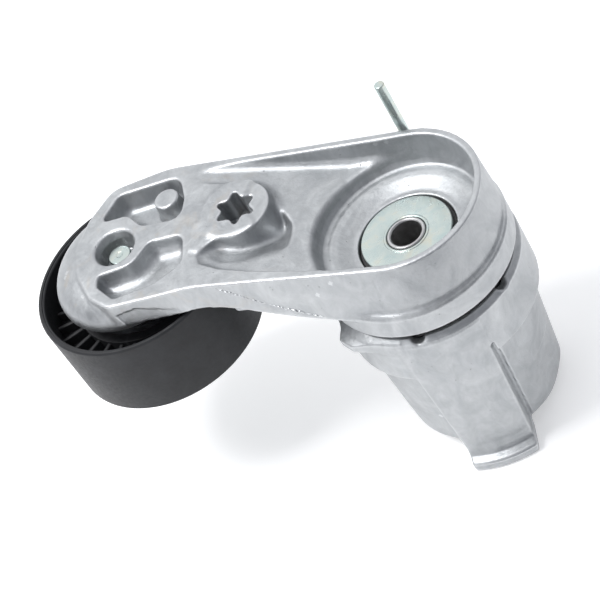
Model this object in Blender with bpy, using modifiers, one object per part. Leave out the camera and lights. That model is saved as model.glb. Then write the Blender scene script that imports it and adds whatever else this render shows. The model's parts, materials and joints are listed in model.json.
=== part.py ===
"""Belt tensioner with a grooveless idler pulley: cast spring case, cast swinging arm, torsion spring
and a pulley on a ball bearing. Metres, +Z up. The origin is the centre of the case's mounting face,
on the arm's pivot axis. +X points from the pivot to the pulley."""

from math import atan2, cos, hypot, pi, radians, sin, tan

import bmesh
import bpy
from mathutils import Matrix

MM = 0.001
GAP = 0.3 * MM  # clearance between neighbouring pieces
RUN_GAP = 0.4 * MM  # radial clearance of the pin in its lug
MERGE = 0.00001

# Spring case
CASE_HEIGHT = 64.2 * MM
CASE_RADIUS = 32.7 * MM
BAND_HEIGHT = 20.7 * MM  # thick upper band of the case
BAND_STEP = 3.3 * MM  # how far the upper band stands out from the barrel
BARREL_TAPER = 3.4 * MM  # how much narrower the barrel is at its foot
CASE_WALL = 3.4 * MM
CASE_FLOOR = 5.5 * MM
RIM_SLOPE = 4.2 * MM  # height of the slanting rim
RIM_RUN = 2.6 * MM
NOTCH_RADIUS = 2.8 * MM
NOTCH_DIRECTIONS = (radians(95), radians(155))
TAB_DIRECTION = radians(106)
TAB_TOP_WIDTH = 28.0 * MM
TAB_FOOT_WIDTH = 22.0 * MM
TAB_DROP = 3.6 * MM  # how far the anti-rotation tab reaches below the mounting face
TAB_STANDOFF = 3.3 * MM  # how far the tab's foot stands out from the case
SKIRT_START = radians(18)
SKIRT_END = radians(84)
EAR_DEPTH = 8.5 * MM
EAR_STANDOFF = 3.7 * MM
EAR_WIDTH = 4.2 * MM  # of the ear that the locking pin leans on, at its tip

# Pivot
TUBE_RADIUS = 7.4 * MM
BOLT_BORE = 5.25 * MM  # clearance for an M10 mounting bolt
PLATE_RADIUS = 15.4 * MM
PLATE_THICK = 2.0 * MM
LINER_THICK = 2.0 * MM
BUSH_WALL = 2.1 * MM
BUSH_LENGTH = 20.0 * MM
HUB_WALL = 3.4 * MM

# Arm
SEAL_GAP = 2.2 * MM  # open gap between the case rim and the arm's flange
FLANGE_INSET = 0.2 * MM  # arm's flange inside the case's outline
FLANGE_THICK = 9.1 * MM
HUB_TOP_INSET = 3.5 * MM  # arm's walls inside the flange, at their top
HUB_FOOT_INSET = 1.3 * MM
ARM_DEPTH = 24.8 * MM  # flange underside to the arm's top face
BEAM_DEPTH = 18.4 * MM
LIP_WIDTH = 2.7 * MM
HUB_RING_DROP = 14.2 * MM  # arm's top face down to the ring round the thrust plate
CENTRE_DISTANCE = 99.0 * MM
END_PLATE_THICK = 10.0 * MM
END_DISC_RADIUS = 26.0 * MM
FACING = 2.0 * MM  # stock that is machined off the arm's top face
ARM_SEAT_RADIUS = 10.5 * MM
SOCKET_X = 56.0 * MM
SOCKET_Y = -9.0 * MM
SOCKET_BOSS_RADIUS = 11.5 * MM
STAR_TIP = 6.8 * MM
STAR_ROOT = 4.7 * MM
STAR_TURN = radians(42)
SOCKET_DEPTH = 11.0 * MM

# Torsion spring and what it rubs on
SPRING_WIRE = 5.4 * MM
SPRING_RADIUS = 19.3 * MM
SPRING_TURNS = 6
SEAT_THICK = 2.2 * MM
BAND_THICK = 3.0 * MM
DAMPER_HEIGHT = 12.0 * MM

# Pulley and bearing
PULLEY_RADIUS = 35.0 * MM
PULLEY_WIDTH = 31.2 * MM
PULLEY_DROP = 11.8 * MM  # arm's top face down to the pulley's rim
RIM_WALL = 2.4 * MM
WEB_THICK = 5.0 * MM
RIB_COUNT = 30
RIB_THICK = 1.3 * MM
PULLEY_HUB_WALL = 3.6 * MM
BEARING_RADIUS = 20.0 * MM
BEARING_BORE = 8.5 * MM
BEARING_WIDTH = 12.0 * MM
RING_WALL = 3.2 * MM
BALL_RADIUS = 3.0 * MM
BALL_COUNT = 8
CAGE_THICK = 1.7 * MM
SHIELD_THICK = 1.2 * MM
BOLT_RADIUS = 4.0 * MM
BOLT_HEAD_ACROSS = 13.0 * MM
BOLT_HEAD_HEIGHT = 5.2 * MM
BOLT_END_DROP = 3.6 * MM  # bolt's end below the arm's top face
BOLT_MOUTH = 6.2 * MM
CAP_THICK = 1.0 * MM

# Locking pin
PIN_RADIUS = 1.75 * MM
PIN_X = 2.65 * MM
PIN_TOP_ABOVE_ARM = 17.8 * MM
PIN_SIDE_GAP = 1.85 * MM  # between the arm's flange and the pin
LUG_LENGTH = 9.5 * MM
LUG_DROP = 4.5 * MM  # arm's top face down to the lug
LUG_WALL = 1.6 * MM

# Heights and places that follow
BARREL_TOP_RADIUS = CASE_RADIUS - BAND_STEP
BARREL_FOOT_RADIUS = BARREL_TOP_RADIUS - BARREL_TAPER
TAB_REACH = CASE_RADIUS + TAB_STANDOFF
EAR_REACH = CASE_RADIUS + EAR_STANDOFF
FLANGE_RADIUS = CASE_RADIUS - FLANGE_INSET
FLANGE_BOTTOM = CASE_HEIGHT + SEAL_GAP
FLANGE_TOP = FLANGE_BOTTOM + FLANGE_THICK
ARM_TOP = FLANGE_BOTTOM + ARM_DEPTH
BEAM_BOTTOM = ARM_TOP - BEAM_DEPTH
HUB_RING_TOP = ARM_TOP - HUB_RING_DROP
PLATE_TOP = HUB_RING_TOP + 1.0 * MM
PLATE_BOTTOM = PLATE_TOP - PLATE_THICK
LINER_BOTTOM = PLATE_BOTTOM - GAP - LINER_THICK
HUB_SHOULDER = LINER_BOTTOM - GAP
PLATE_SEAT_RADIUS = PLATE_RADIUS + 1.3 * MM
BUSH_BORE = TUBE_RADIUS + GAP
BUSH_RADIUS = BUSH_BORE + BUSH_WALL
HUB_BORE = BUSH_RADIUS + GAP
HUB_RADIUS = HUB_BORE + HUB_WALL
HUB_BOTTOM = CASE_FLOOR + 4.0 * MM
TUBE_TOP = PLATE_TOP + 0.9 * MM
BAND_BOTTOM = CASE_HEIGHT - BAND_HEIGHT
CASE_BORE = CASE_RADIUS - CASE_WALL
RIM_RADIUS = CASE_RADIUS - RIM_RUN
SPRING_FOOT = CASE_FLOOR + GAP + SEAT_THICK + GAP
DAMPER_TOP = CASE_HEIGHT - 2.0 * MM
SEAL_RADIUS = CASE_BORE - 1.2 * MM
PULLEY_TOP = ARM_TOP - PULLEY_DROP
PULLEY_BOTTOM = PULLEY_TOP - PULLEY_WIDTH
PULLEY_MIDDLE = PULLEY_TOP - PULLEY_WIDTH / 2
PULLEY_BORE = BEARING_RADIUS + GAP
PULLEY_HUB_RADIUS = PULLEY_BORE + PULLEY_HUB_WALL
END_PLATE_BOTTOM = ARM_TOP - END_PLATE_THICK
BEARING_TOP = PULLEY_MIDDLE + BEARING_WIDTH / 2
BEARING_BOTTOM = PULLEY_MIDDLE - BEARING_WIDTH / 2
BALL_PITCH = (BEARING_RADIUS + BEARING_BORE) / 2
SPACER_FLANGE = 1.6 * MM
SPACER_TOP = BEARING_TOP + GAP + SPACER_FLANGE
ARM_BOSS_BOTTOM = SPACER_TOP + GAP
CAP_TOP = BEARING_BOTTOM - GAP
CAP_BOTTOM = CAP_TOP - CAP_THICK
BOLT_HEAD_TOP = CAP_BOTTOM - GAP
BOLT_TOP = ARM_TOP - BOLT_END_DROP
PIN_Y = -(FLANGE_RADIUS + PIN_SIDE_GAP + PIN_RADIUS)
PIN_TOP = ARM_TOP + PIN_TOP_ABOVE_ARM
PIN_EAR_BOTTOM = CASE_HEIGHT - RIM_SLOPE - EAR_DEPTH
PIN_BOTTOM = PIN_EAR_BOTTOM - 2.0 * MM
PIN_BOSS_TOP = ARM_TOP - 11.0 * MM

parts = None
tools = None


def new_collection(name):
    collection = bpy.data.collections.new(name)
    bpy.context.scene.collection.children.link(collection)
    return collection


def new_material(name, colour, roughness, metallic):
    material = bpy.data.materials.new(name)
    material.use_nodes = True
    shader = material.node_tree.nodes["Principled BSDF"]
    shader.inputs["Base Color"].default_value = (*colour, 1)
    shader.inputs["Roughness"].default_value = roughness
    shader.inputs["Metallic"].default_value = metallic
    material.diffuse_color = (*colour, 1)
    return material


def new_object(name, mesh, material=None):
    """A part when it has a material, otherwise a tool that shapes other parts."""
    thing = bpy.data.objects.new(name, mesh)
    if material:
        mesh.materials.append(material)
        parts.objects.link(thing)
    else:
        thing.hide_render = True
        thing.display_type = "WIRE"
        tools.objects.link(thing)
    return thing


def shade(mesh, angle=35):
    mesh.shade_smooth()
    mesh.set_sharp_from_angle(angle=radians(angle))


def turned(name, profile, material=None, at=(0, 0), steps=64, ring=True, phase=0):
    """A profile of (radius, height) points turned about Z. A ring's profile is a closed loop that
    runs down its outer side. Without ring it starts and ends on the axis. phase, in degrees, keeps
    a tool's facets off those of the piece it meets."""
    mesh = bpy.data.meshes.new(name)
    count = len(profile)
    edges = [(i, i + 1) for i in range(count - 1)]
    if ring:
        edges.append((count - 1, 0))
    mesh.from_pydata([(r, 0, z) for r, z in profile], edges, [])
    thing = new_object(name, mesh, material)
    thing.location = (*at, 0)
    thing.rotation_euler.z = radians(phase)
    screw = thing.modifiers.new("turn", "SCREW")
    screw.steps = steps
    screw.render_steps = steps
    screw.use_merge_vertices = True
    screw.merge_threshold = MERGE
    return thing


def rounded(corners):
    """An outline, counter-clockwise, whose corners (x, y, radius) are rounded by arcs. A corner may
    give its arc's number of steps as well."""
    outline = []
    count = len(corners)
    for i, (x, y, radius, *given) in enumerate(corners):
        steps = given[0] if given else 4
        before, after = corners[i - 1], corners[(i + 1) % count]
        ax, ay = before[0] - x, before[1] - y
        bx, by = after[0] - x, after[1] - y
        ax, ay = ax / hypot(ax, ay), ay / hypot(ax, ay)
        bx, by = bx / hypot(bx, by), by / hypot(bx, by)
        half = atan2(abs(ax * by - ay * bx), ax * bx + ay * by) / 2
        turn = 1 if ax * by - ay * bx < 0 else -1
        mx, my = ax + bx, ay + by
        reach = radius / sin(half) / hypot(mx, my)
        centre = (x + mx * reach, y + my * reach)
        start = (x + ax * radius / tan(half) - centre[0], y + ay * radius / tan(half) - centre[1])
        for step in range(steps + 1):
            angle = turn * (pi - 2 * half) * step / steps
            outline.append(
                (
                    centre[0] + start[0] * cos(angle) - start[1] * sin(angle),
                    centre[1] + start[0] * sin(angle) + start[1] * cos(angle),
                )
            )
    return outline


def offset(outline, distance):
    """The outline with each point moved outwards."""
    moved = []
    count = len(outline)
    for i in range(count):
        (px, py), (qx, qy) = outline[i - 1], outline[(i + 1) % count]
        length = hypot(qx - px, qy - py)
        x, y = outline[i]
        moved.append((x + (qy - py) / length * distance, y - (qx - px) / length * distance))
    return moved


def loft(name, sections, material=None):
    """A solid through sections of equally many points, lowest first. Each is (outline, height)."""
    bm = bmesh.new()
    rings = [[bm.verts.new((x, y, z)) for x, y in outline] for outline, z in sections]
    count = len(rings[0])
    for low, high in zip(rings, rings[1:]):
        sides = [bm.faces.new((low[i - 1], low[i], high[i], high[i - 1])) for i in range(count)]
        bmesh.ops.triangulate(bm, faces=sides)
    bm.faces.new(reversed(rings[0]))
    bm.faces.new(rings[-1])
    bmesh.ops.recalc_face_normals(bm, faces=bm.faces)
    mesh = bpy.data.meshes.new(name)
    bm.to_mesh(mesh)
    bm.free()
    return new_object(name, mesh, material)


def prism(name, outline, low, high, material=None):
    return loft(name, [(outline, low), (outline, high)], material)


def side_prism(name, outline, half_width):
    """A tool whose outline lies in the XZ plane, reaching half_width to each side along Y."""
    thing = prism(name, outline, -half_width, half_width)
    thing.data.transform(Matrix.Rotation(pi / 2, 4, "X"))
    return thing


def ball(name, radius, location, material=None, segments=16):
    bm = bmesh.new()
    bmesh.ops.create_uvsphere(bm, u_segments=segments, v_segments=segments // 2, radius=radius)
    mesh = bpy.data.meshes.new(name)
    bm.to_mesh(mesh)
    bm.free()
    thing = new_object(name, mesh, material)
    thing.location = location
    return thing


def combine(target, tool, operation):
    modifier = target.modifiers.new(tool.name, "BOOLEAN")
    modifier.operation = operation
    modifier.object = tool


def add(target, tool):
    combine(target, tool, "UNION")


def cut(target, tool):
    combine(target, tool, "DIFFERENCE")


def keep(target, tool):
    combine(target, tool, "INTERSECT")


def around(angle, radius, across=0.0):
    """A point at a radius in a direction about the pivot, moved sideways by across."""
    return (
        radius * cos(angle) - across * sin(angle),
        radius * sin(angle) + across * cos(angle),
    )


def sleeve(name, inner, outer, low, high, material, at=(0, 0), steps=36, edge=0.0):
    """A plain ring with a small chamfer on its outer edges."""
    profile = [(inner, high), (outer - edge, high), (outer, high - edge), (outer, low + edge)]
    profile += [(outer - edge, low), (inner, low)]
    if not edge:
        profile = [(inner, high), (outer, high), (outer, low), (inner, low)]
    return turned(name, profile, material, at, steps)


# ---- Spring case ----


def case_body(material):
    profile = [
        (RIM_RADIUS, CASE_HEIGHT),
        (CASE_RADIUS, CASE_HEIGHT - RIM_SLOPE),
        (CASE_RADIUS, BAND_BOTTOM + 1.0 * MM),
        (BARREL_TOP_RADIUS, BAND_BOTTOM),
        (BARREL_FOOT_RADIUS, 2.0 * MM),
        (BARREL_FOOT_RADIUS - 1.6 * MM, 0),
        (TUBE_RADIUS + GAP, 0),
        (TUBE_RADIUS + GAP, CASE_FLOOR),
        (BARREL_FOOT_RADIUS - CASE_WALL, CASE_FLOOR),
        (BARREL_TOP_RADIUS - CASE_WALL, BAND_BOTTOM),
        (CASE_BORE, BAND_BOTTOM + 4.0 * MM),
        (CASE_BORE, CASE_HEIGHT),
    ]
    return turned("spring_case", profile, material, steps=56)


def case_bore_tool():
    """Everything inside the middle of the case's wall, to trim what is added to its outside."""
    half = CASE_WALL / 2
    profile = [
        (0, CASE_HEIGHT + 5 * MM),
        (CASE_BORE + half, CASE_HEIGHT + 5 * MM),
        (CASE_BORE + half, BAND_BOTTOM + 3.0 * MM),
        (BARREL_TOP_RADIUS - half, BAND_BOTTOM - 2.0 * MM),
        (BARREL_FOOT_RADIUS - half, CASE_FLOOR),
        (BARREL_FOOT_RADIUS - 2 * half, CASE_FLOOR / 2),
        (0, CASE_FLOOR / 2),
    ]
    return turned("case_bore_tool", profile, steps=48, ring=False, phase=1.9)


def wedge(name, start, end, low, high):
    reach = 2 * CASE_RADIUS
    inner = 0.4 * CASE_RADIUS
    middle = (start + end) / 2
    corners = [(*around(a, inner), 0) for a in (start, end)]
    outer = [(*around(a, reach), 0) for a in (end, middle, start)]
    return prism(name, [(x, y) for x, y, _ in corners[:1] + outer[::-1] + corners[1:]], low, high)


def case_skirt(bore):
    """The thick cast flank beside the tab, a plain cone from the band to the foot."""
    top = CASE_HEIGHT - RIM_SLOPE - 2 * MM
    inner = 0.7 * CASE_RADIUS
    face = CASE_RADIUS + 0.12 * MM
    profile = [
        (inner, top),
        (face, top),
        (face, BAND_BOTTOM + 4.0 * MM),
        (BARREL_FOOT_RADIUS + 1.4 * MM, 3.4 * MM),
        (BARREL_FOOT_RADIUS - 0.4 * MM, 1.2 * MM),
        (inner, 1.2 * MM),
    ]
    skirt = turned("skirt_tool", profile, steps=56, phase=2.1)
    keep(skirt, wedge("skirt_wedge", SKIRT_START, SKIRT_END, 0, CASE_HEIGHT))
    cut(skirt, bore)
    return skirt


def case_tab(bore):
    """The anti-rotation tab: a rib flush with the band that ends in a foot turned outwards."""
    top = CASE_HEIGHT - RIM_SLOPE - 1 * MM
    face = CASE_RADIUS + 0.24 * MM
    inner = 0.6 * CASE_RADIUS
    profile = [
        (inner, top),
        (face, top),
        (face, BAND_BOTTOM),
        (face - 1.3 * MM, 5.0 * MM),
        (face - 1.0 * MM, 2.6 * MM),
        (face - 0.1 * MM, 1.0 * MM),
        (TAB_REACH - 0.7 * MM, 0.2 * MM),
        (TAB_REACH, -0.6 * MM),
        (TAB_REACH - 0.3 * MM, -TAB_DROP),
        (inner + 6 * MM, -TAB_DROP),
        (inner + 5 * MM, 1.0 * MM),
        (inner, 2.0 * MM),
    ]
    tab = turned("tab_tool", profile, steps=56, phase=4.1)
    width, foot = TAB_TOP_WIDTH / 2, TAB_FOOT_WIDTH / 2
    outline = [(-foot, -2 * TAB_DROP), (foot, -2 * TAB_DROP), (width, top + MM), (-width, top + MM)]
    plate = prism("tab_plate", outline, -TAB_REACH - 4 * MM, -inner)
    plate.data.transform(Matrix.Rotation(pi / 2, 4, "X"))
    plate.rotation_euler.z = TAB_DIRECTION - pi / 2
    keep(tab, plate)
    cut(tab, bore)
    return tab


def stop_ear(bore):
    """The beak cast on the rim."""
    tip = EAR_REACH
    wall = CASE_RADIUS - CASE_WALL / 2
    corners = [
        (*around(radians(30), wall), 0.5 * MM),
        (*around(radians(40), tip - 3.6 * MM), 1.0 * MM),
        (*around(radians(45.5), tip), 1.8 * MM),
        (*around(radians(62), CASE_RADIUS + 0.9 * MM), 9 * MM),
        (*around(radians(78), CASE_RADIUS - 0.6 * MM), 0.3 * MM),
        (*around(radians(78), wall), 0.3 * MM),
    ]
    top = CASE_HEIGHT - 0.8 * MM
    ear = prism("stop_ear_tool", rounded(corners), top - EAR_DEPTH, top)
    cut(ear, bore)
    return ear


def pin_ear(bore):
    """The ear on the case that the locking pin leans on."""
    top = CASE_HEIGHT - RIM_SLOPE
    direction = atan2(PIN_Y, PIN_X)
    tip = hypot(PIN_X, PIN_Y) + PIN_RADIUS
    face = PIN_RADIUS + GAP
    corners = [
        (*around(direction, CASE_BORE, face), 0.5 * MM),
        (*around(direction, tip, face), 0.8 * MM),
        (*around(direction, tip, face + EAR_WIDTH), 2.0 * MM),
        (*around(direction, CASE_BORE, face + 2.6 * EAR_WIDTH), 0.5 * MM),
    ]
    ear = prism("pin_ear_tool", rounded(corners), top - EAR_DEPTH, top)
    cut(ear, bore)
    return ear


def spring_case(material):
    case = case_body(material)
    bore = case_bore_tool()
    for tool in (case_skirt(bore), case_tab(bore), stop_ear(bore), pin_ear(bore)):
        add(case, tool)
    for number, direction in enumerate(NOTCH_DIRECTIONS):
        place = around(direction, CASE_RADIUS + 0.4 * MM)
        profile = [(0, CASE_HEIGHT), (NOTCH_RADIUS, CASE_HEIGHT)]
        floor = CASE_HEIGHT - RIM_SLOPE - NOTCH_RADIUS
        profile += [(NOTCH_RADIUS, floor + MM), (NOTCH_RADIUS * 0.7, floor), (0, floor)]
        cut(case, turned(f"notch_tool_{number}", profile, at=place, steps=16, ring=False, phase=4))
    return case


# ---- Pieces on the pivot ----


def pivot_tube(material):
    collar = TUBE_TOP - PLATE_TOP
    profile = [
        (BOLT_BORE + 0.5 * MM, TUBE_TOP),
        (TUBE_RADIUS - 0.5 * MM, TUBE_TOP),
        (TUBE_RADIUS, TUBE_TOP - 0.5 * collar),
        (TUBE_RADIUS, 0.4 * MM),
        (TUBE_RADIUS - 0.4 * MM, 0),
        (BOLT_BORE, 0),
        (BOLT_BORE, TUBE_TOP - 0.5 * MM),
    ]
    return turned("pivot_tube", profile, material, steps=32)


def thrust_plate(material):
    bore = TUBE_RADIUS + GAP
    profile = [
        (bore + 0.7 * MM, PLATE_TOP),
        (PLATE_RADIUS - 0.4 * MM, PLATE_TOP),
        (PLATE_RADIUS, PLATE_TOP - 0.4 * MM),
        (PLATE_RADIUS, PLATE_BOTTOM),
        (bore, PLATE_BOTTOM),
        (bore, PLATE_TOP - 0.5 * MM),
    ]
    return turned("thrust_plate", profile, material, steps=40)


def torsion_spring(material):
    """Closely wound wire, standing on the plastic seat."""
    top = DAMPER_TOP - 1.0 * MM
    rise = top - SPRING_WIRE - SPRING_FOOT
    curve = bpy.data.curves.new("torsion_spring", "CURVE")
    curve.dimensions = "3D"
    curve.bevel_depth = SPRING_WIRE / 2
    curve.bevel_resolution = 2
    curve.use_fill_caps = True
    spline = curve.splines.new("POLY")
    count = 12 * SPRING_TURNS
    spline.points.add(count)
    for i, point in enumerate(spline.points):
        share = i / count
        angle = 2 * pi * SPRING_TURNS * share
        height = SPRING_FOOT + SPRING_WIRE / 2 + rise * share
        point.co = (SPRING_RADIUS * cos(angle), SPRING_RADIUS * sin(angle), height, 1)
    spring = bpy.data.objects.new("torsion_spring", curve)
    curve.materials.append(material)
    parts.objects.link(spring)
    return spring


def damping_band(material):
    """Split friction band between the spring's upper coils and the case wall."""
    outer = CASE_BORE - GAP
    band = sleeve(
        "damping_band",
        outer - BAND_THICK,
        outer,
        DAMPER_TOP - DAMPER_HEIGHT,
        DAMPER_TOP,
        material,
        steps=44,
        edge=0.6 * MM,
    )
    cut(band, wedge("band_gap_tool", radians(-12), radians(12), 0, CASE_HEIGHT + MM))
    return band


def pivot_pieces(finish):
    pivot_tube(finish["steel"])
    thrust_plate(finish["zinc"])
    inner = TUBE_RADIUS + GAP
    liner = PLATE_SEAT_RADIUS - GAP
    sleeve("thrust_liner", inner, liner, LINER_BOTTOM, LINER_BOTTOM + LINER_THICK, finish["nylon"])
    upper = HUB_SHOULDER - GAP
    for name, top in (("upper_bush", upper), ("lower_bush", HUB_BOTTOM + BUSH_LENGTH)):
        sleeve(name, BUSH_BORE, BUSH_RADIUS, top - BUSH_LENGTH, top, finish["nylon"], steps=32)
    seat_low = CASE_FLOOR + GAP
    seat_rim = BARREL_FOOT_RADIUS - CASE_WALL - GAP
    seat_bore = HUB_RADIUS + GAP
    sleeve("spring_seat", seat_bore, seat_rim, seat_low, seat_low + SEAT_THICK, finish["nylon"])
    torsion_spring(finish["spring"])
    damping_band(finish["nylon"])
    seal_low = DAMPER_TOP + GAP
    seal_high = FLANGE_BOTTOM - GAP
    sleeve("dust_seal", SEAL_RADIUS - 2.6 * MM, SEAL_RADIUS, seal_low, seal_high, finish["rubber"])


# ---- Arm ----


def arm_outline(grow, hub, hub_y, rise):
    """The arm seen from above. grow widens its far end, hub is the radius round the pivot, and rise
    slopes the near side outwards towards the hub."""
    end = CENTRE_DISTANCE
    low, high = hub_y - hub, 21.8 * MM + grow
    bend = 0.96 * hub  # radius of the two corners round the pivot
    corners = [
        (-hub, low, bend, 14),
        (end - 13 * MM, low - 0.2 * MM - grow / 2, 30 * MM, 3),
        (end + 7.5 * MM, -26.5 * MM - grow, 8 * MM, 4),
        (end + 13.6 * MM + grow, -13.5 * MM, 12 * MM, 3),
        (end + 14.9 * MM + grow, -0.8 * MM, 6 * MM, 2),
        (end + 11.5 * MM + grow, 10.5 * MM, 14 * MM, 2),
        (end + 4.5 * MM + grow, 20.6 * MM + grow, 6 * MM, 3),
        (end - 3.5 * MM, 25.7 * MM + grow, 4 * MM, 3),
        (end - 21 * MM, 23.6 * MM + grow, 20 * MM, 2),
        (end - 33 * MM, high, 40 * MM, 3),
        (-hub, high + rise * (end - 33 * MM + hub), bend, 14),
    ]
    return rounded(corners)


def arm_top_outline():
    return arm_outline(0, FLANGE_RADIUS - HUB_TOP_INSET, -3.3 * MM, 0.059)


def arm_body(material):
    low = arm_outline(1.6 * MM, FLANGE_RADIUS - HUB_FOOT_INSET, -0.9 * MM, 0.122)
    top = arm_top_outline()
    sections = [(low, BEAM_BOTTOM), (top, ARM_TOP), (top, ARM_TOP + FACING)]
    return loft("tensioner_arm", sections, material)


def end_disc():
    """The domed end over the pulley, concentric with it."""
    low = PULLEY_TOP - 0.2 * MM
    crown = 13.6 * MM
    profile = [(0, ARM_TOP + 0.8 * FACING), (crown, ARM_TOP + 0.8 * FACING), (crown, ARM_TOP)]
    rim = low + 1.6 * MM
    for step in range(1, 6):
        share = step / 5
        radius = crown + (END_DISC_RADIUS - crown) * sin(share * pi / 2) ** 1.15
        profile.append((radius, ARM_TOP + (rim - ARM_TOP) * (1 - cos(share * pi / 2)) ** 0.9))
    profile += [(END_DISC_RADIUS, low), (0, low)]
    at = (CENTRE_DISTANCE, 0)
    return turned("end_disc_tool", profile, at=at, steps=48, ring=False, phase=0.8)


def underside_tool():
    """Removes the beam's lower part over the pulley."""
    start = CENTRE_DISTANCE - PULLEY_RADIUS - 7 * MM
    low = BEAM_BOTTOM - 3 * MM
    outline = [
        (start, low),
        (CENTRE_DISTANCE + 60 * MM, low),
        (CENTRE_DISTANCE + 60 * MM, END_PLATE_BOTTOM),
        (start + 6 * MM, END_PLATE_BOTTOM),
        (start + 1.5 * MM, BEAM_BOTTOM + 2 * MM),
    ]
    return side_prism("underside_tool", outline, 60 * MM)


def hollow_tool():
    """The open top of the arm: inside the lip, above a floor that ramps up to the end plate."""
    top = ARM_TOP + 5 * MM
    ramp = [
        (-60 * MM, ARM_TOP - 6.6 * MM),
        (22 * MM, ARM_TOP - 6.4 * MM),
        (34 * MM, ARM_TOP - 5.0 * MM),
        (49 * MM, ARM_TOP - 3.1 * MM),
        (60 * MM, ARM_TOP - 1.3 * MM),
        (CENTRE_DISTANCE - 32 * MM, ARM_TOP + 0.1 * MM),
        (CENTRE_DISTANCE - 30 * MM, top),
        (-60 * MM, top),
    ]
    hollow = side_prism("hollow_tool", ramp, 60 * MM)
    inside = offset(arm_top_outline(), -LIP_WIDTH)
    keep(hollow, prism("lip_inside_tool", inside, BEAM_BOTTOM, top + MM))
    return hollow


def dish_tool():
    """The dish round the thrust plate, the plate's seat and the hub's bore."""
    profile = [
        (0, ARM_TOP + MM),
        (30.0 * MM, ARM_TOP + MM),
        (30.0 * MM, ARM_TOP - 6.0 * MM),
        (28.0 * MM, ARM_TOP - 8.0 * MM),
        (26.3 * MM, ARM_TOP - 10.6 * MM),
        (24.6 * MM, ARM_TOP - 12.2 * MM),
        (21.5 * MM, ARM_TOP - 13.6 * MM),
        (18.5 * MM, HUB_RING_TOP),
        (PLATE_SEAT_RADIUS, HUB_RING_TOP),
        (PLATE_SEAT_RADIUS, HUB_SHOULDER),
        (HUB_BORE, HUB_SHOULDER),
        (HUB_BORE, 0),
        (0, 0),
    ]
    dish = turned("dish_tool", profile, steps=48, ring=False, phase=1.3)
    inside = offset(arm_top_outline(), -LIP_WIDTH - 0.15 * MM)
    keep(dish, prism("dish_limit_tool", inside, -MM, ARM_TOP + 2 * MM))
    return dish


def scoop_tool():
    """The deep scoop between the socket boss and the near lip, running out at a point."""
    x, y = SOCKET_X, SOCKET_Y
    corners = [
        (x - 2 * MM, y + 2 * MM, 1 * MM),
        (x - 13 * MM, y - 1 * MM, 1.5 * MM),
        (x - 19 * MM, y + 5 * MM, 4 * MM),
        (x - 22.5 * MM, y + 13.5 * MM, 5 * MM),
        (x - 14 * MM, y + 18.5 * MM, 6 * MM),
        (x + 1 * MM, y + 18.6 * MM, 20 * MM),
        (x + 10.3 * MM, y + 16.1 * MM, 0.4 * MM),
    ]
    top = ARM_TOP + 2 * MM
    outline = rounded(corners)
    scoop = prism("scoop_tool", outline, BEAM_BOTTOM, top)
    floor = [
        (x - 40 * MM, ARM_TOP - 9.9 * MM),
        (x - 12 * MM, ARM_TOP - 9.9 * MM),
        (x - 2 * MM, ARM_TOP - 6.5 * MM),
        (x + 10.5 * MM, ARM_TOP - 0.2 * MM),
        (x + 10.5 * MM, top + MM),
        (x - 40 * MM, top + MM),
    ]
    keep(scoop, side_prism("scoop_floor_tool", floor, 60 * MM))
    return scoop


def socket_boss():
    """The boss for turning the arm by hand, with the fin that joins it to the end plate."""
    low = PULLEY_TOP + 1.0 * MM
    radius = SOCKET_BOSS_RADIUS
    top = ARM_TOP + 0.6 * FACING
    profile = [(0, top), (radius, top), (radius, ARM_TOP), (radius + 1.6 * MM, low), (0, low)]
    at = (SOCKET_X, SOCKET_Y)
    boss = turned("boss_tool", profile, at=at, steps=36, ring=False, phase=1.7)
    x, y = SOCKET_X, SOCKET_Y
    corners = [
        (x - 8.3 * MM, y + 7.8 * MM, 1 * MM),
        (x, y - 3 * MM, 1 * MM),
        (x + 14 * MM, y + 4 * MM, 1 * MM),
        (x + 13 * MM, y + 14 * MM, 1 * MM),
        (x + 9.8 * MM, y + 15.6 * MM, 0.5 * MM),
        (x + 5 * MM, y + 11.7 * MM, 8 * MM),
    ]
    outline = rounded(corners)
    foot = offset(outline, 0.8 * MM)
    foot_low = low + GAP
    sections = [(foot, foot_low), (outline, ARM_TOP), (outline, ARM_TOP + 0.4 * FACING)]
    add(boss, loft("fin_tool", sections))
    return boss


def star_tool():
    points = []
    for i in range(24):
        reach = STAR_ROOT + (STAR_TIP - STAR_ROOT) * (0.5 + 0.5 * cos(6 * (i * pi / 12))) ** 1.4
        angle = i * pi / 12 + STAR_TURN
        points.append((SOCKET_X + reach * cos(angle), SOCKET_Y + reach * sin(angle)))
    return prism("star_tool", points, ARM_TOP - SOCKET_DEPTH, ARM_TOP + MM)


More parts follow.
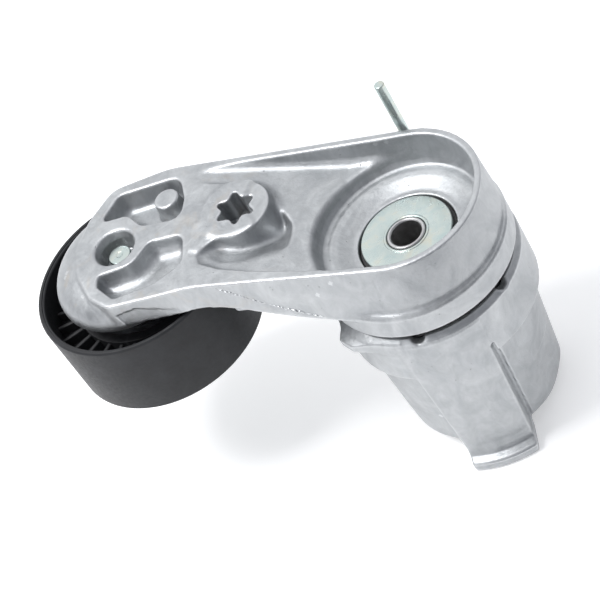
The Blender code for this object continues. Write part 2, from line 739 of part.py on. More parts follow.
def end_pockets():
    """The two weight-saving pockets of the end plate."""
    x = CENTRE_DISTANCE
    kidney = [
        (x - 27.3 * MM, 12.5 * MM, 7.0 * MM),
        (x - 26.0 * MM, -0.7 * MM, 4.5 * MM),
        (x - 13.8 * MM, -0.7 * MM, 5.0 * MM),
        (x - 7.2 * MM, 9.6 * MM, 7.0 * MM),
        (x + 2.2 * MM, 11.3 * MM, 3.0 * MM),
        (x + 1.8 * MM, 17.5 * MM, 2.6 * MM),
        (x - 4.5 * MM, 22.4 * MM, 2.6 * MM),
        (x - 17.2 * MM, 20.4 * MM, 7.0 * MM),
    ]
    bean = [
        (x - 23.0 * MM, -8.0 * MM, 4.0 * MM),
        (x - 23.6 * MM, -24.5 * MM, 8.0 * MM),
        (x - 11.5 * MM, -27.6 * MM, 2.5 * MM),
        (x + 4.6 * MM, -22.8 * MM, 4.0 * MM),
        (x + 9.4 * MM, -12.0 * MM, 2.2 * MM),
        (x - 1.0 * MM, -11.4 * MM, 4.0 * MM),
        (x - 6.0 * MM, -15.4 * MM, 4.0 * MM),
        (x - 13.2 * MM, -8.4 * MM, 3.0 * MM),
    ]
    depth = 6.2 * MM
    tools_made = []
    for name, corners in (("kidney_tool", kidney), ("bean_tool", bean)):
        mouth = rounded(corners)
        floor = offset(mouth, -1.3 * MM)
        sections = [(floor, ARM_TOP - depth), (mouth, ARM_TOP), (mouth, ARM_TOP + MM)]
        tools_made.append(loft(name, sections))
    return tools_made


def pocket_peg():
    low = ARM_TOP - 7 * MM
    profile = [
        (0, ARM_TOP - 1.6 * MM),
        (4.3 * MM, ARM_TOP - 1.6 * MM),
        (4.9 * MM, low),
        (0, low),
    ]
    place = (CENTRE_DISTANCE - 15.2 * MM, -18.2 * MM)
    return turned("peg_tool", profile, at=place, steps=20, ring=False, phase=2)


def bolt_hole_tool():
    thread = BOLT_RADIUS + GAP
    profile = [
        (0, ARM_TOP + 0.5 * MM),
        (BOLT_MOUTH + 2.0 * MM, ARM_TOP + 0.5 * MM),
        (BOLT_MOUTH, ARM_TOP - 1.6 * MM),
        (BOLT_MOUTH, BOLT_TOP - 4 * MM),
        (thread, BOLT_TOP - 4.4 * MM),
        (thread, 0),
        (0, 0),
    ]
    at = (CENTRE_DISTANCE, 0)
    return turned("bolt_hole_tool", profile, at=at, steps=28, ring=False, phase=3.1)


def arm_boss():
    """The seat for the bearing's spacer, under the end disc."""
    profile = [
        (0, END_PLATE_BOTTOM + MM),
        (12.5 * MM, END_PLATE_BOTTOM + MM),
        (12.0 * MM, PULLEY_TOP - 2 * MM),
        (10.5 * MM, ARM_BOSS_BOTTOM),
        (0, ARM_BOSS_BOTTOM),
    ]
    at = (CENTRE_DISTANCE, 0)
    return turned("arm_boss_tool", profile, at=at, steps=32, ring=False, phase=2.1)


def hub_flange():
    """The cap over the case and the sleeve that turns on the pivot."""
    edge = 1.6 * MM
    profile = [
        (0, HUB_RING_TOP),
        (24 * MM, HUB_RING_TOP),
        (FLANGE_RADIUS - 2.0 * MM, FLANGE_TOP + 0.5 * MM),
        (FLANGE_RADIUS - 0.5 * MM, FLANGE_TOP - 0.3 * MM),
        (FLANGE_RADIUS, FLANGE_TOP - edge),
        (FLANGE_RADIUS, FLANGE_BOTTOM + 0.6 * MM),
        (FLANGE_RADIUS - 0.6 * MM, FLANGE_BOTTOM),
        (HUB_RADIUS + 1.5 * MM, FLANGE_BOTTOM),
        (HUB_RADIUS, FLANGE_BOTTOM - 3 * MM),
        (HUB_RADIUS, HUB_BOTTOM),
        (0, HUB_BOTTOM),
    ]
    return turned("hub_tool", profile, steps=52, ring=False, phase=0.4)


def belly_tools():
    """Weight-saving hollows in the underside of the beam, with a rib between them."""
    made = []
    start = FLANGE_RADIUS + 3.0 * MM
    end = CENTRE_DISTANCE - PULLEY_RADIUS - 9.0 * MM
    roof = ARM_TOP - 14.5 * MM
    for side in (-1, 1):
        low = -26.0 * MM if side < 0 else 1.5 * MM
        high = -2.5 * MM if side < 0 else 19.5 * MM
        corners = [
            (start, low, 2 * MM),
            (end, low, 2 * MM),
            (end, high, 2 * MM),
            (start, high, 2 * MM),
        ]
        mouth = rounded(corners)
        roof_outline = offset(mouth, -0.8 * MM)
        sections = [(mouth, BEAM_BOTTOM - MM), (mouth, BEAM_BOTTOM), (roof_outline, roof)]
        made.append(loft(f"belly_tool_{side + 1}", sections))
    return made


def pin_lug():
    """The lug on the arm's back edge, with the boss that holds the locking pin."""
    at = (PIN_X, PIN_Y)
    root = PIN_Y + 5 * MM
    side = PIN_Y - 0.6 * MM
    corners = [
        (PIN_X - LUG_LENGTH, root, 1 * MM),
        (PIN_X - LUG_LENGTH + 2.5 * MM, side, 1.6 * MM),
        (PIN_X - 0.2 * MM, side, 0.6 * MM),
        (PIN_X - 0.2 * MM, root, 0.6 * MM),
    ]
    low = FLANGE_BOTTOM + MM
    lug = prism("pin_lug_tool", rounded(corners), low, ARM_TOP - LUG_DROP)
    boss = PIN_RADIUS + RUN_GAP + LUG_WALL
    profile = [(0, PIN_BOSS_TOP), (boss, PIN_BOSS_TOP), (boss, low + 0.2 * MM), (0, low + 0.2 * MM)]
    add(lug, turned("pin_boss_tool", profile, at=at, steps=20, ring=False, phase=2.3))
    return lug


def pin_hole_tool():
    hole = PIN_RADIUS + RUN_GAP
    profile = [(0, PIN_TOP), (hole, PIN_TOP), (hole, 0), (0, 0)]
    at = (PIN_X, PIN_Y)
    return turned("pin_hole_tool", profile, at=at, steps=16, ring=False, phase=4.3)


def facing_tool():
    """Machines the arm's top face flat."""
    reach = CENTRE_DISTANCE + 60 * MM
    outline = [(-reach, -reach), (reach, -reach), (reach, reach), (-reach, reach)]
    return prism("facing_tool", outline, ARM_TOP, ARM_TOP + 5 * FACING)


def tensioner_arm(material):
    arm = arm_body(material)
    cut(arm, underside_tool())
    for tool in (end_disc(), arm_boss(), hub_flange()):
        add(arm, tool)
    for tool in (hollow_tool(), dish_tool(), scoop_tool()):
        cut(arm, tool)
    add(arm, socket_boss())
    for tool in (star_tool(), *end_pockets(), *belly_tools()):
        cut(arm, tool)
    add(arm, pocket_peg())
    add(arm, pin_lug())
    for tool in (pin_hole_tool(), bolt_hole_tool(), facing_tool()):
        cut(arm, tool)
    return arm


# ---- Pulley ----


def pulley_ribs(side):
    """Radial ribs on one side of the web, as one tool of separate blades."""
    bm = bmesh.new()
    inner = PULLEY_HUB_RADIUS - 1 * MM
    outer = PULLEY_RADIUS - RIM_WALL + 0.6 * MM
    reach = PULLEY_WIDTH / 2 - 6.5 * MM
    length = outer - inner
    for i in range(RIB_COUNT):
        move = Matrix.Rotation(2 * pi * i / RIB_COUNT, 4, "Z")
        move = move @ Matrix.Translation(((inner + outer) / 2, 0, side * reach / 2))
        size = Matrix.Diagonal((length, RIB_THICK, reach, 1))
        bmesh.ops.create_cube(bm, size=1, matrix=move @ size)
    name = f"rib_tool_{side + 1}"
    mesh = bpy.data.meshes.new(name)
    bm.to_mesh(mesh)
    bm.free()
    ribs = new_object(name, mesh)
    ribs.location = (CENTRE_DISTANCE, 0, PULLEY_MIDDLE)
    return ribs


def pulley_shell(material):
    inner = PULLEY_RADIUS - RIM_WALL
    hub_top = PULLEY_MIDDLE + BEARING_WIDTH / 2 + 1.2 * MM
    hub_low = PULLEY_MIDDLE - BEARING_WIDTH / 2 - 1.2 * MM
    web = WEB_THICK / 2
    profile = [
        (inner + 0.4 * MM, PULLEY_TOP),
        (PULLEY_RADIUS - 0.7 * MM, PULLEY_TOP),
        (PULLEY_RADIUS, PULLEY_TOP - 0.9 * MM),
        (PULLEY_RADIUS, PULLEY_BOTTOM + 0.9 * MM),
        (PULLEY_RADIUS - 0.7 * MM, PULLEY_BOTTOM),
        (inner + 0.4 * MM, PULLEY_BOTTOM),
        (inner, PULLEY_MIDDLE - web),
        (PULLEY_HUB_RADIUS, PULLEY_MIDDLE - web),
        (PULLEY_HUB_RADIUS, hub_low),
        (PULLEY_BORE, hub_low),
        (PULLEY_BORE, hub_top),
        (PULLEY_HUB_RADIUS, hub_top),
        (PULLEY_HUB_RADIUS, PULLEY_MIDDLE + web),
        (inner, PULLEY_MIDDLE + web),
    ]
    pulley = turned("pulley_shell", profile, material, at=(CENTRE_DISTANCE, 0), steps=60)
    for side in (1, -1):
        add(pulley, pulley_ribs(side))
    return pulley


def race(name, land, groove, outer, material):
    """A bearing ring: land and groove are the radii of its inner or outer running surface."""
    edge = 0.5 * MM
    dip = BALL_RADIUS * 0.75
    middle = PULLEY_MIDDLE
    running = [
        (land, BEARING_TOP),
        (land, middle + dip),
        (groove, middle),
        (land, middle - dip),
        (land, BEARING_BOTTOM),
    ]
    plain = [
        (outer, BEARING_TOP - edge),
        (outer, BEARING_BOTTOM + edge),
    ]
    if outer > land:
        profile = [*plain, *reversed(running)]
    else:
        profile = [*running, *reversed(plain)]
    return turned(name, profile, material, at=(CENTRE_DISTANCE, 0), steps=36)


def bearing(finish):
    steel = finish["bearing"]
    groove = BALL_RADIUS + GAP
    outer_land = BEARING_RADIUS - RING_WALL
    inner_land = BEARING_BORE + RING_WALL
    race("bearing_outer_ring", outer_land, BALL_PITCH + groove, BEARING_RADIUS, steel)
    race("bearing_inner_ring", inner_land, BALL_PITCH - groove, BEARING_BORE, steel)
    shield_in, shield_out = inner_land + GAP, outer_land - GAP
    at = (CENTRE_DISTANCE, 0)
    depth = 0.3 * MM
    top = BEARING_TOP - depth
    low = BEARING_BOTTOM + depth
    for name, bottom in (("upper_shield", top - SHIELD_THICK), ("lower_shield", low)):
        sleeve(name, shield_in, shield_out, bottom, bottom + SHIELD_THICK, finish["rubber"], at)
    half = BALL_RADIUS + 0.8 * MM
    inner, outer = BALL_PITCH - CAGE_THICK / 2, BALL_PITCH + CAGE_THICK / 2
    low, high = PULLEY_MIDDLE - half, PULLEY_MIDDLE + half
    cage = sleeve("bearing_cage", inner, outer, low, high, finish["nylon"], at, steps=40)
    for i in range(BALL_COUNT):
        angle = 2 * pi * i / BALL_COUNT
        x, y = around(angle, BALL_PITCH)
        place = (CENTRE_DISTANCE + x, y, PULLEY_MIDDLE)
        ball(f"bearing_ball_{i + 1}", BALL_RADIUS, place, finish["bearing"], segments=10)
        cut(cage, ball(f"ball_pocket_{i + 1}", BALL_RADIUS + GAP, place, segments=10))


def pulley_spacer(material):
    bore = BOLT_RADIUS + GAP
    stem = BEARING_BORE - GAP
    profile = [
        (bore, SPACER_TOP),
        (ARM_SEAT_RADIUS, SPACER_TOP),
        (ARM_SEAT_RADIUS, SPACER_TOP - SPACER_FLANGE),
        (stem, SPACER_TOP - SPACER_FLANGE),
        (stem, CAP_TOP + GAP),
        (bore, CAP_TOP + GAP),
    ]
    return turned("pulley_spacer", profile, material, at=(CENTRE_DISTANCE, 0), steps=28)


def dust_cap(material):
    """Pressed cap between the bolt's head and the bearing."""
    bore = BOLT_RADIUS + GAP
    rim = PULLEY_BORE - 1.2 * MM
    drop = 1.2 * MM
    profile = [
        (bore, CAP_TOP),
        (11.0 * MM, CAP_TOP),
        (12.2 * MM, CAP_TOP - drop),
        (rim, CAP_TOP - drop),
        (rim, CAP_TOP - drop - CAP_THICK),
        (11.8 * MM, CAP_TOP - drop - CAP_THICK),
        (10.6 * MM, CAP_BOTTOM),
        (bore, CAP_BOTTOM),
    ]
    return turned("dust_cap", profile, material, at=(CENTRE_DISTANCE, 0), steps=36)


def pulley_bolt(material):
    head_low = BOLT_HEAD_TOP - BOLT_HEAD_HEIGHT
    flange = 1.4 * MM
    profile = [
        (0, BOLT_TOP),
        (BOLT_RADIUS - 0.6 * MM, BOLT_TOP),
        (BOLT_RADIUS, BOLT_TOP - 0.6 * MM),
        (BOLT_RADIUS, BOLT_HEAD_TOP),
        (BOLT_HEAD_ACROSS / 2 + 1.8 * MM, BOLT_HEAD_TOP),
        (BOLT_HEAD_ACROSS / 2 + 1.4 * MM, BOLT_HEAD_TOP - flange),
        (0, BOLT_HEAD_TOP - flange),
    ]
    bolt = turned("pulley_bolt", profile, material, at=(CENTRE_DISTANCE, 0), steps=28, ring=False)
    corner = BOLT_HEAD_ACROSS / 2 / cos(pi / 6)
    corners = [around(pi / 3 * i, corner) for i in range(6)]
    hexagon = [(CENTRE_DISTANCE + x, y) for x, y in corners]
    add(bolt, prism("bolt_head_tool", hexagon, head_low, BOLT_HEAD_TOP - flange / 2))
    return bolt


def locking_pin(material):
    end = 0.4 * MM
    profile = [
        (0, PIN_TOP),
        (PIN_RADIUS - end, PIN_TOP),
        (PIN_RADIUS, PIN_TOP - end),
        (PIN_RADIUS, PIN_BOTTOM + end),
        (PIN_RADIUS - end, PIN_BOTTOM),
        (0, PIN_BOTTOM),
    ]
    place = (PIN_X, PIN_Y)
    return turned("locking_pin", profile, material, at=place, steps=16, ring=False)


def finishes():
    return {
        "cast": new_material("cast_aluminium", (0.66, 0.68, 0.70), 0.42, 0.9),
        "zinc": new_material("zinc_plate", (0.72, 0.76, 0.73), 0.3, 1.0),
        "steel": new_material("bare_steel", (0.60, 0.60, 0.60), 0.35, 1.0),
        "spring": new_material("spring_steel", (0.10, 0.10, 0.11), 0.5, 0.6),
        "bearing": new_material("bearing_steel", (0.65, 0.66, 0.68), 0.2, 1.0),
        "plastic": new_material("black_plastic", (0.045, 0.047, 0.052), 0.45, 0.0),
        "nylon": new_material("nylon", (0.03, 0.03, 0.032), 0.55, 0.0),
        "rubber": new_material("seal_rubber", (0.02, 0.02, 0.02), 0.7, 0.0),
    }


def clear_scene():
    for thing in list(bpy.data.objects):
        bpy.data.objects.remove(thing)


def build():
    finish = finishes()
    spring_case(finish["cast"])
    pivot_pieces(finish)
    tensioner_arm(finish["cast"])
    pulley_shell(finish["plastic"])
    bearing(finish)
    pulley_spacer(finish["steel"])
    dust_cap(finish["zinc"])
    pulley_bolt(finish["zinc"])
    locking_pin(finish["zinc"])
    for mesh in bpy.data.meshes:
        shade(mesh)


clear_scene()
parts = new_collection("belt_tensioner_idler")
tools = new_collection("shaping_tools")
build()
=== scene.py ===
"""Looks for the belt tensioner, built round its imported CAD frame: fine castings, a fine pulley and
turned pieces, procedural materials, a pale floor, soft light and the camera.

The two castings are worked out as distances to their surface on a grid, in millimetres, so that
each edge is rounded and each corner has its fillet, and the surface is then laid over the grid."""

import json
from itertools import product
from math import atan2, cos, hypot, pi, radians, sin, tan

import bmesh
import bpy
import numpy as np
from mathutils import Matrix, Quaternion, Vector


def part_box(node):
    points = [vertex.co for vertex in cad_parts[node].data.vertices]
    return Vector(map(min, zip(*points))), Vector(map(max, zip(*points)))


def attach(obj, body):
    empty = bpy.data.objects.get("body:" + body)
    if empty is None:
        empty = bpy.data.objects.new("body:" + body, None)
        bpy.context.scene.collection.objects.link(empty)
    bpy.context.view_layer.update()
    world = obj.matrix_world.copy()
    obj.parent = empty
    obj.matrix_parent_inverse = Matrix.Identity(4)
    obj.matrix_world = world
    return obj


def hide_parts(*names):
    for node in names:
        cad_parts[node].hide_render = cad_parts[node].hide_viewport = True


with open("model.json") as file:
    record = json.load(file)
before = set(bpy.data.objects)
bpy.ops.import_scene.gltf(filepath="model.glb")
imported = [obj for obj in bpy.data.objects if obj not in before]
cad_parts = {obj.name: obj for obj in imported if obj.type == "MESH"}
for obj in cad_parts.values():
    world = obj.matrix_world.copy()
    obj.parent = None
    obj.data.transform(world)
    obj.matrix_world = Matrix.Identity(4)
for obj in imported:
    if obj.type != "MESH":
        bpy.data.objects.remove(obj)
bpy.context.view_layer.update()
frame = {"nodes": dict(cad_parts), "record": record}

MM = 0.001
FAR = 60.0


def cad(node):
    """A CAD node's lowest and highest corners in millimetres."""
    return tuple(tuple(value / MM for value in corner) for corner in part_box(node))


# Heights and radii, in millimetres, taken from the frame
(_, _, HUB_BOTTOM), (_, _, ARM_TOP) = cad("tensioner_arm")
(_, _, CASE_FOOT), (_, _, CASE_TOP) = cad("spring_case")
(pulley_left, _, PULLEY_BOTTOM), (pulley_right, PULLEY_RADIUS, PULLEY_TOP) = cad("pulley_shell")
CENTRE = (pulley_left + pulley_right) / 2
PLATE_RADIUS, PLATE_TOP = cad("thrust_plate")[1][1:]
TUBE_RADIUS = cad("pivot_tube")[1][1]
BOLT_TOP = cad("pulley_bolt")[1][2]
BEARING_RADIUS, BEARING_TOP = cad("bearing_outer_ring")[1][1:]
BEARING_BOTTOM = cad("bearing_outer_ring")[0][2]
(pin_left, pin_low, PIN_BOTTOM), (pin_right, pin_high, PIN_TOP) = cad("locking_pin")
PIN = ((pin_left + pin_right) / 2, (pin_low + pin_high) / 2)
PIN_RADIUS = (pin_right - pin_left) / 2

# Arm
FLANGE_RADIUS = 32.5
FLANGE_BOTTOM = 66.4
FLANGE_TOP = FLANGE_BOTTOM + 9.1
BEAM_BOTTOM = ARM_TOP - 18.4
LIP_WIDTH = 2.7
HUB_RING_TOP = ARM_TOP - 14.2
END_PLATE_BOTTOM = ARM_TOP - 10.0
HUB_SLEEVE_RADIUS = 13.5
HUB_BORE = 10.1
SOCKET = (56.2, -9.1)
STAR_POINTS = 6
STAR_ROOT = 4.7
STAR_DEPTH = 2.2
STAR_TURN = 42

# Pulley's ribs, which end RIB_DROP short of its faces
RIB_COUNT = 30
RIB_THICK = 1.3
RIB_DROP = 9.5

# Case
CASE_RADIUS = 32.7
BAND_BOTTOM = CASE_TOP - 20.7
BARREL_TOP_RADIUS = 29.4
BARREL_FOOT_RADIUS = 26.0
CASE_WALL = 3.4
CASE_FLOOR = 5.5
RIM_TOP = CASE_TOP - 0.7
RIM_SLOPE = 2.2
TAB_DIRECTION = 106
TAB_REACH = 36.0
TAB_HALF_WIDTH = 11.0
TAB_SPREAD = 3.0


# ---- Distances ----


def flat_distance(outline, x, y):
    """Distance in a plane to a closed outline, negative inside it."""
    nearest = np.float32(1e6)
    inside = False
    for (ax, ay), (bx, by) in zip(outline, outline[1:] + outline[:1]):
        ex, ey = bx - ax, by - ay
        share = np.clip(((x - ax) * ex + (y - ay) * ey) / (ex * ex + ey * ey), 0, 1)
        nearest = np.minimum(nearest, (x - ax - ex * share) ** 2 + (y - ay - ey * share) ** 2)
        if ey:
            inside = inside ^ (((ay > y) != (by > y)) & (x < ex * (y - ay) / ey + ax))
    return np.where(inside, -1, 1) * np.sqrt(nearest)


def both(a, b, edge=0.0):
    """What two distances share, with the edge between them rounded."""
    if not edge:
        return np.maximum(a, b)
    corner = np.hypot(np.maximum(a + edge, 0), np.maximum(b + edge, 0))
    return np.minimum(np.maximum(a, b), -edge) + corner


class Casting:
    """Distances to a casting's surface on a grid, negative inside it."""

    def __init__(self, low, high, step):
        self.low = np.array(low, dtype=float)
        self.step = step
        counts = np.ceil((np.array(high) - self.low) / step).astype(int) + 1
        self.axes = [
            (self.low[i] + step * np.arange(counts[i], dtype=np.float32)) for i in range(3)
        ]
        self.values = np.full(counts, FAR, dtype=np.float32)

    def region(self, low, high):
        cuts = []
        for i in range(3):
            start = max(int((low[i] - self.low[i]) / self.step), 0)
            end = min(int((high[i] - self.low[i]) / self.step) + 2, len(self.axes[i]))
            cuts.append(slice(start, end))
        x, y, z = (self.axes[i][cuts[i]] for i in range(3))
        return tuple(cuts), x[:, None, None], y[None, :, None], z[None, None, :]

    def add(self, shape, fillet=0.0):
        """Joins a shape, with a fillet in the corner between it and the casting."""
        distance, low, high = shape
        cuts, x, y, z = self.region(low, high)
        self.values[cuts] = -both(-self.values[cuts], -distance(x, y, z), fillet)

    def cut(self, shape, edge=0.0):
        """Takes a shape away, with the edge it leaves rounded."""
        distance, low, high = shape
        cuts, x, y, z = self.region(low, high)
        self.values[cuts] = both(self.values[cuts], -distance(x, y, z), edge)

    def sample(self, points):
        """Distances at points given in steps of the grid."""
        base = np.clip(np.floor(points).astype(int), 0, np.array(self.values.shape) - 2)
        share = points - base
        total = np.zeros(len(points))
        for corner in product((0, 1), repeat=3):
            weight = np.prod(np.where(corner, share, 1 - share), axis=1)
            total += weight * self.values[tuple((base + corner).T)]
        return total

    def settled(self, points, rounds=2):
        """Points moved onto the surface, along its slope."""
        for _ in range(rounds):
            value = self.sample(points)
            slope = np.empty_like(points)
            for i in range(3):
                shift = np.zeros(3)
                shift[i] = 0.5
                slope[:, i] = self.sample(points + shift) - self.sample(points - shift)
            length = np.maximum((slope**2).sum(axis=1), 1e-3)
            move = slope * (value / length)[:, None]
            points = points - np.clip(move, -0.5, 0.5)
        return points

    def wall_y(self, x, z):
        """Where the near side wall stands, at a place along it."""
        i = (x - self.low[0]) / self.step
        k = (z - self.low[2]) / self.step
        ys = np.arange(self.values.shape[1] - 1, self.values.shape[1] / 2, -0.1)
        points = np.stack([np.full_like(ys, i), ys, np.full_like(ys, k)], axis=1)
        first = np.argmax(self.sample(points) < 0)
        return self.low[1] + ys[first] * self.step

    def mesh(self, name):
        """The casting's surface: a point in each cell that it crosses, joined by quads."""
        values = self.values
        for i in range(3):
            for end in (0, -1):
                edge = [slice(None)] * 3
                edge[i] = end
                values[tuple(edge)] = np.maximum(values[tuple(edge)], self.step / 4)
        inside = values < 0
        nx, ny, nz = inside.shape
        filled = np.zeros((nx - 1, ny - 1, nz - 1), dtype=np.uint8)
        for i, j, k in product((0, 1), repeat=3):
            filled += inside[i : nx - 1 + i, j : ny - 1 + j, k : nz - 1 + k]
        crossed = (filled > 0) & (filled < 8)
        cells = np.argwhere(crossed)
        number = np.full(crossed.shape, -1, dtype=np.int32)
        number[crossed] = np.arange(len(cells))
        total = np.zeros((len(cells), 3))
        hits = np.zeros((len(cells), 1))
        faces = []
        for axis in range(3):
            u, v = (axis + 1) % 3, (axis + 2) % 3
            for du, dv in product((0, 1), repeat=2):
                start = cells.copy()
                start[:, u] += du
                start[:, v] += dv
                end = start.copy()
                end[:, axis] += 1
                a, b = values[tuple(start.T)], values[tuple(end.T)]
                hit = (a < 0) != (b < 0)
                point = start[hit].astype(float)
                point[:, axis] += a[hit] / (a[hit] - b[hit])
                total[hit] += point
                hits[hit] += 1
            first = [slice(1, -1)] * 3
            second = [slice(1, -1)] * 3
            first[axis] = slice(0, -1)
            second[axis] = slice(1, None)
            solid_first = inside[tuple(first)]
            edges = np.argwhere(solid_first != inside[tuple(second)])
            outward = solid_first[tuple(edges.T)]
            edges[:, u] += 1
            edges[:, v] += 1
            quad = []
            for du, dv in ((1, 1), (0, 1), (0, 0), (1, 0)):
                cell = edges.copy()
                cell[:, u] -= du
                cell[:, v] -= dv
                quad.append(number[tuple(cell.T)])
            quad = np.stack(quad, axis=1)
            faces.append(np.where(outward[:, None], quad, quad[:, ::-1]))
        points = self.settled(total / hits)
        points = (points * self.step + self.low) * MM
        mesh = bpy.data.meshes.new(name)
        mesh.from_pydata(points.tolist(), [], np.concatenate(faces).tolist())
        mesh.shade_smooth()
        return mesh


# ---- Shapes: (distance, lowest corner, highest corner), a little larger than the shape ----

PAD = 4.0


def turned(profile, at=(0, 0), edge=0.0):
    """A closed profile of (radius, height) points turned about Z. edge rounds its outer corners."""
    cx, cy = at
    if edge:
        profile = offset(profile, -edge)
    reach = max(r for r, z in profile) + PAD
    low, high = min(z for r, z in profile) - PAD, max(z for r, z in profile) + PAD

    def distance(x, y, z):
        return flat_distance(profile, np.hypot(x - cx, y - cy), z) - edge

    return distance, (cx - reach, cy - reach, low), (cx + reach, cy + reach, high)


def slab(outline, low, high, edge=0.0, draft=0.0, floor=None):
    """An outline from low to high. draft moves its walls outwards by that much for each millimetre
    below high. floor, if given, rounds its lower edge instead."""
    xs, ys = [x for x, y in outline], [y for x, y in outline]
    spread = PAD + abs(draft) * (high - low)

    def distance(x, y, z):
        wall = flat_distance(outline, x, y) - draft * (high - z)
        if floor is None:
            return both(wall, np.abs(z - (low + high) / 2) - (high - low) / 2, edge)
        return both(both(wall, low - z, floor), z - high, edge)

    lowest = (min(xs) - spread, min(ys) - spread, low - PAD)
    return distance, lowest, (max(xs) + spread, max(ys) + spread, high + PAD)


def side_slab(outline, half_width=FAR):
    """An outline in the XZ plane that reaches half_width to each side."""
    xs, zs = [x for x, z in outline], [z for x, z in outline]

    def distance(x, y, z):
        return np.maximum(flat_distance(outline, x, z), np.abs(y) - half_width)

    return distance, (min(xs) - PAD, -FAR, min(zs) - PAD), (max(xs) + PAD, FAR, max(zs) + PAD)


def shared(a, b, edge=0.0):
    """Where two shapes overlap."""
    low = tuple(max(p, q) for p, q in zip(a[1], b[1]))
    high = tuple(min(p, q) for p, q in zip(a[2], b[2]))
    return (lambda x, y, z: both(a[0](x, y, z), b[0](x, y, z), edge)), low, high


def rounded(corners, fine=3):
    """An outline whose corners, (x, y, radius) or (x, y, radius, steps), are rounded by arcs."""
    outline = []
    count = len(corners)
    for i, (x, y, radius, *given) in enumerate(corners):
        steps = (given[0] if given else 3) * fine
        before, after = corners[i - 1], corners[(i + 1) % count]
        ax, ay = before[0] - x, before[1] - y
        bx, by = after[0] - x, after[1] - y
        ax, ay = ax / hypot(ax, ay), ay / hypot(ax, ay)
        bx, by = bx / hypot(bx, by), by / hypot(bx, by)
        half = atan2(abs(ax * by - ay * bx), ax * bx + ay * by) / 2
        way = 1 if ax * by - ay * bx < 0 else -1
        mx, my = ax + bx, ay + by
        reach = radius / sin(half) / hypot(mx, my)
        centre = (x + mx * reach, y + my * reach)
        start = (x + ax * radius / tan(half) - centre[0], y + ay * radius / tan(half) - centre[1])
        for step in range(steps + 1):
            angle = way * (pi - 2 * half) * step / steps
            outline.append(
                (
                    centre[0] + start[0] * cos(angle) - start[1] * sin(angle),
                    centre[1] + start[0] * sin(angle) + start[1] * cos(angle),
                )
            )
    return outline


def offset(outline, distance):
    """A convex or nearly convex outline with each side moved outwards, whichever way it runs."""
    count = len(outline)
    area = sum(
        outline[i - 1][0] * outline[i][1] - outline[i][0] * outline[i - 1][1] for i in range(count)
    )
    distance = distance if area > 0 else -distance
    moved = []
    for i in range(count):
        (px, py), (x, y), (qx, qy) = outline[i - 1], outline[i], outline[(i + 1) % count]
        a, b = hypot(x - px, y - py), hypot(qx - x, qy - y)
        ax, ay = (y - py) / a, -(x - px) / a
        bx, by = (qy - y) / b, -(qx - x) / b
        scale = distance / max(1 + ax * bx + ay * by, 0.3)
        moved.append((x + (ax + bx) * scale, y + (ay + by) * scale))
    return moved


def around(degrees, radius, across=0.0):
    angle = radians(degrees)
    return (
        radius * cos(angle) - across * sin(angle),
        radius * sin(angle) + across * cos(angle),
    )


# ---- Arm ----


def arm_outline(grow, hub, hub_y, rise):
    low, high = hub_y - hub, 21.8 + grow
    turn = 0.96 * hub
    corners = [
        (-hub, low, turn, 14),
        (CENTRE - 13, low - 0.2 - grow / 2, 30, 3),
        (CENTRE + 7.5, -26.5 - grow, 8, 4),
        (CENTRE + 13.6 + grow, -13.5, 12, 3),
        (CENTRE + 14.9 + grow, -0.8, 6, 2),
        (CENTRE + 11.5 + grow, 10.5, 14, 2),
        (CENTRE + 4.5 + grow, 20.6 + grow, 6, 3),
        (CENTRE - 3.5, 25.7 + grow, 4, 3),
        (CENTRE - 21, 23.6 + grow, 20, 2),
        (CENTRE - 33, high, 40, 3),
        (-hub, high + rise * (CENTRE - 33 + hub), turn, 14),
    ]
    return rounded(corners, fine=1)


TOP_OUTLINE = arm_outline(0, 29.0, -3.3, 0.059)
LOW_OUTLINE = arm_outline(1.6, 31.2, -0.9, 0.122)


def arm_wall(x, y, z):
    """Distance to the arm's tapering side walls."""
    share = (z - BEAM_BOTTOM) / (ARM_TOP - BEAM_BOTTOM)
    low, top = flat_distance(LOW_OUTLINE, x, y), flat_distance(TOP_OUTLINE, x, y)
    return low + (top - low) * share


def arm_body():
    middle, half = (BEAM_BOTTOM + ARM_TOP) / 2, (ARM_TOP - BEAM_BOTTOM) / 2

    def distance(x, y, z):
        return both(arm_wall(x, y, z), np.abs(z - middle) - half, 0.5)

    return distance, (-40, -42, BEAM_BOTTOM - PAD), (CENTRE + 24, 40, ARM_TOP + PAD)


def underside():
    """The room for the pulley under the end plate."""
    start = CENTRE - PULLEY_RADIUS - 7
    outline = [
        (start, BEAM_BOTTOM - 9),
        (CENTRE + FAR, BEAM_BOTTOM - 9),
        (CENTRE + FAR, END_PLATE_BOTTOM),
        (start + 6, END_PLATE_BOTTOM),
        (start + 1.5, BEAM_BOTTOM + 2),
    ]
    return side_slab(outline)


def near_underside():
    """The near side wall's lower edge, which sweeps up from the flange to the end plate."""
    edge = [(12, 0), (15, 0.1), (23, 1.3), (33, 2.7), (40, 4.0), (46, 5.3), (53, 7.2), (59, 8.1)]
    outline = [(x, BEAM_BOTTOM + z) for x, z in edge]
    outline += [(66, END_PLATE_BOTTOM), (70, END_PLATE_BOTTOM), (70, 60), (12, 60)]
    shape, low, high = side_slab(outline)

    def distance(x, y, z):
        return both(shape(x, y, z), 18.8 - y, 0.5)

    return distance, (low[0], 14, low[2]), high


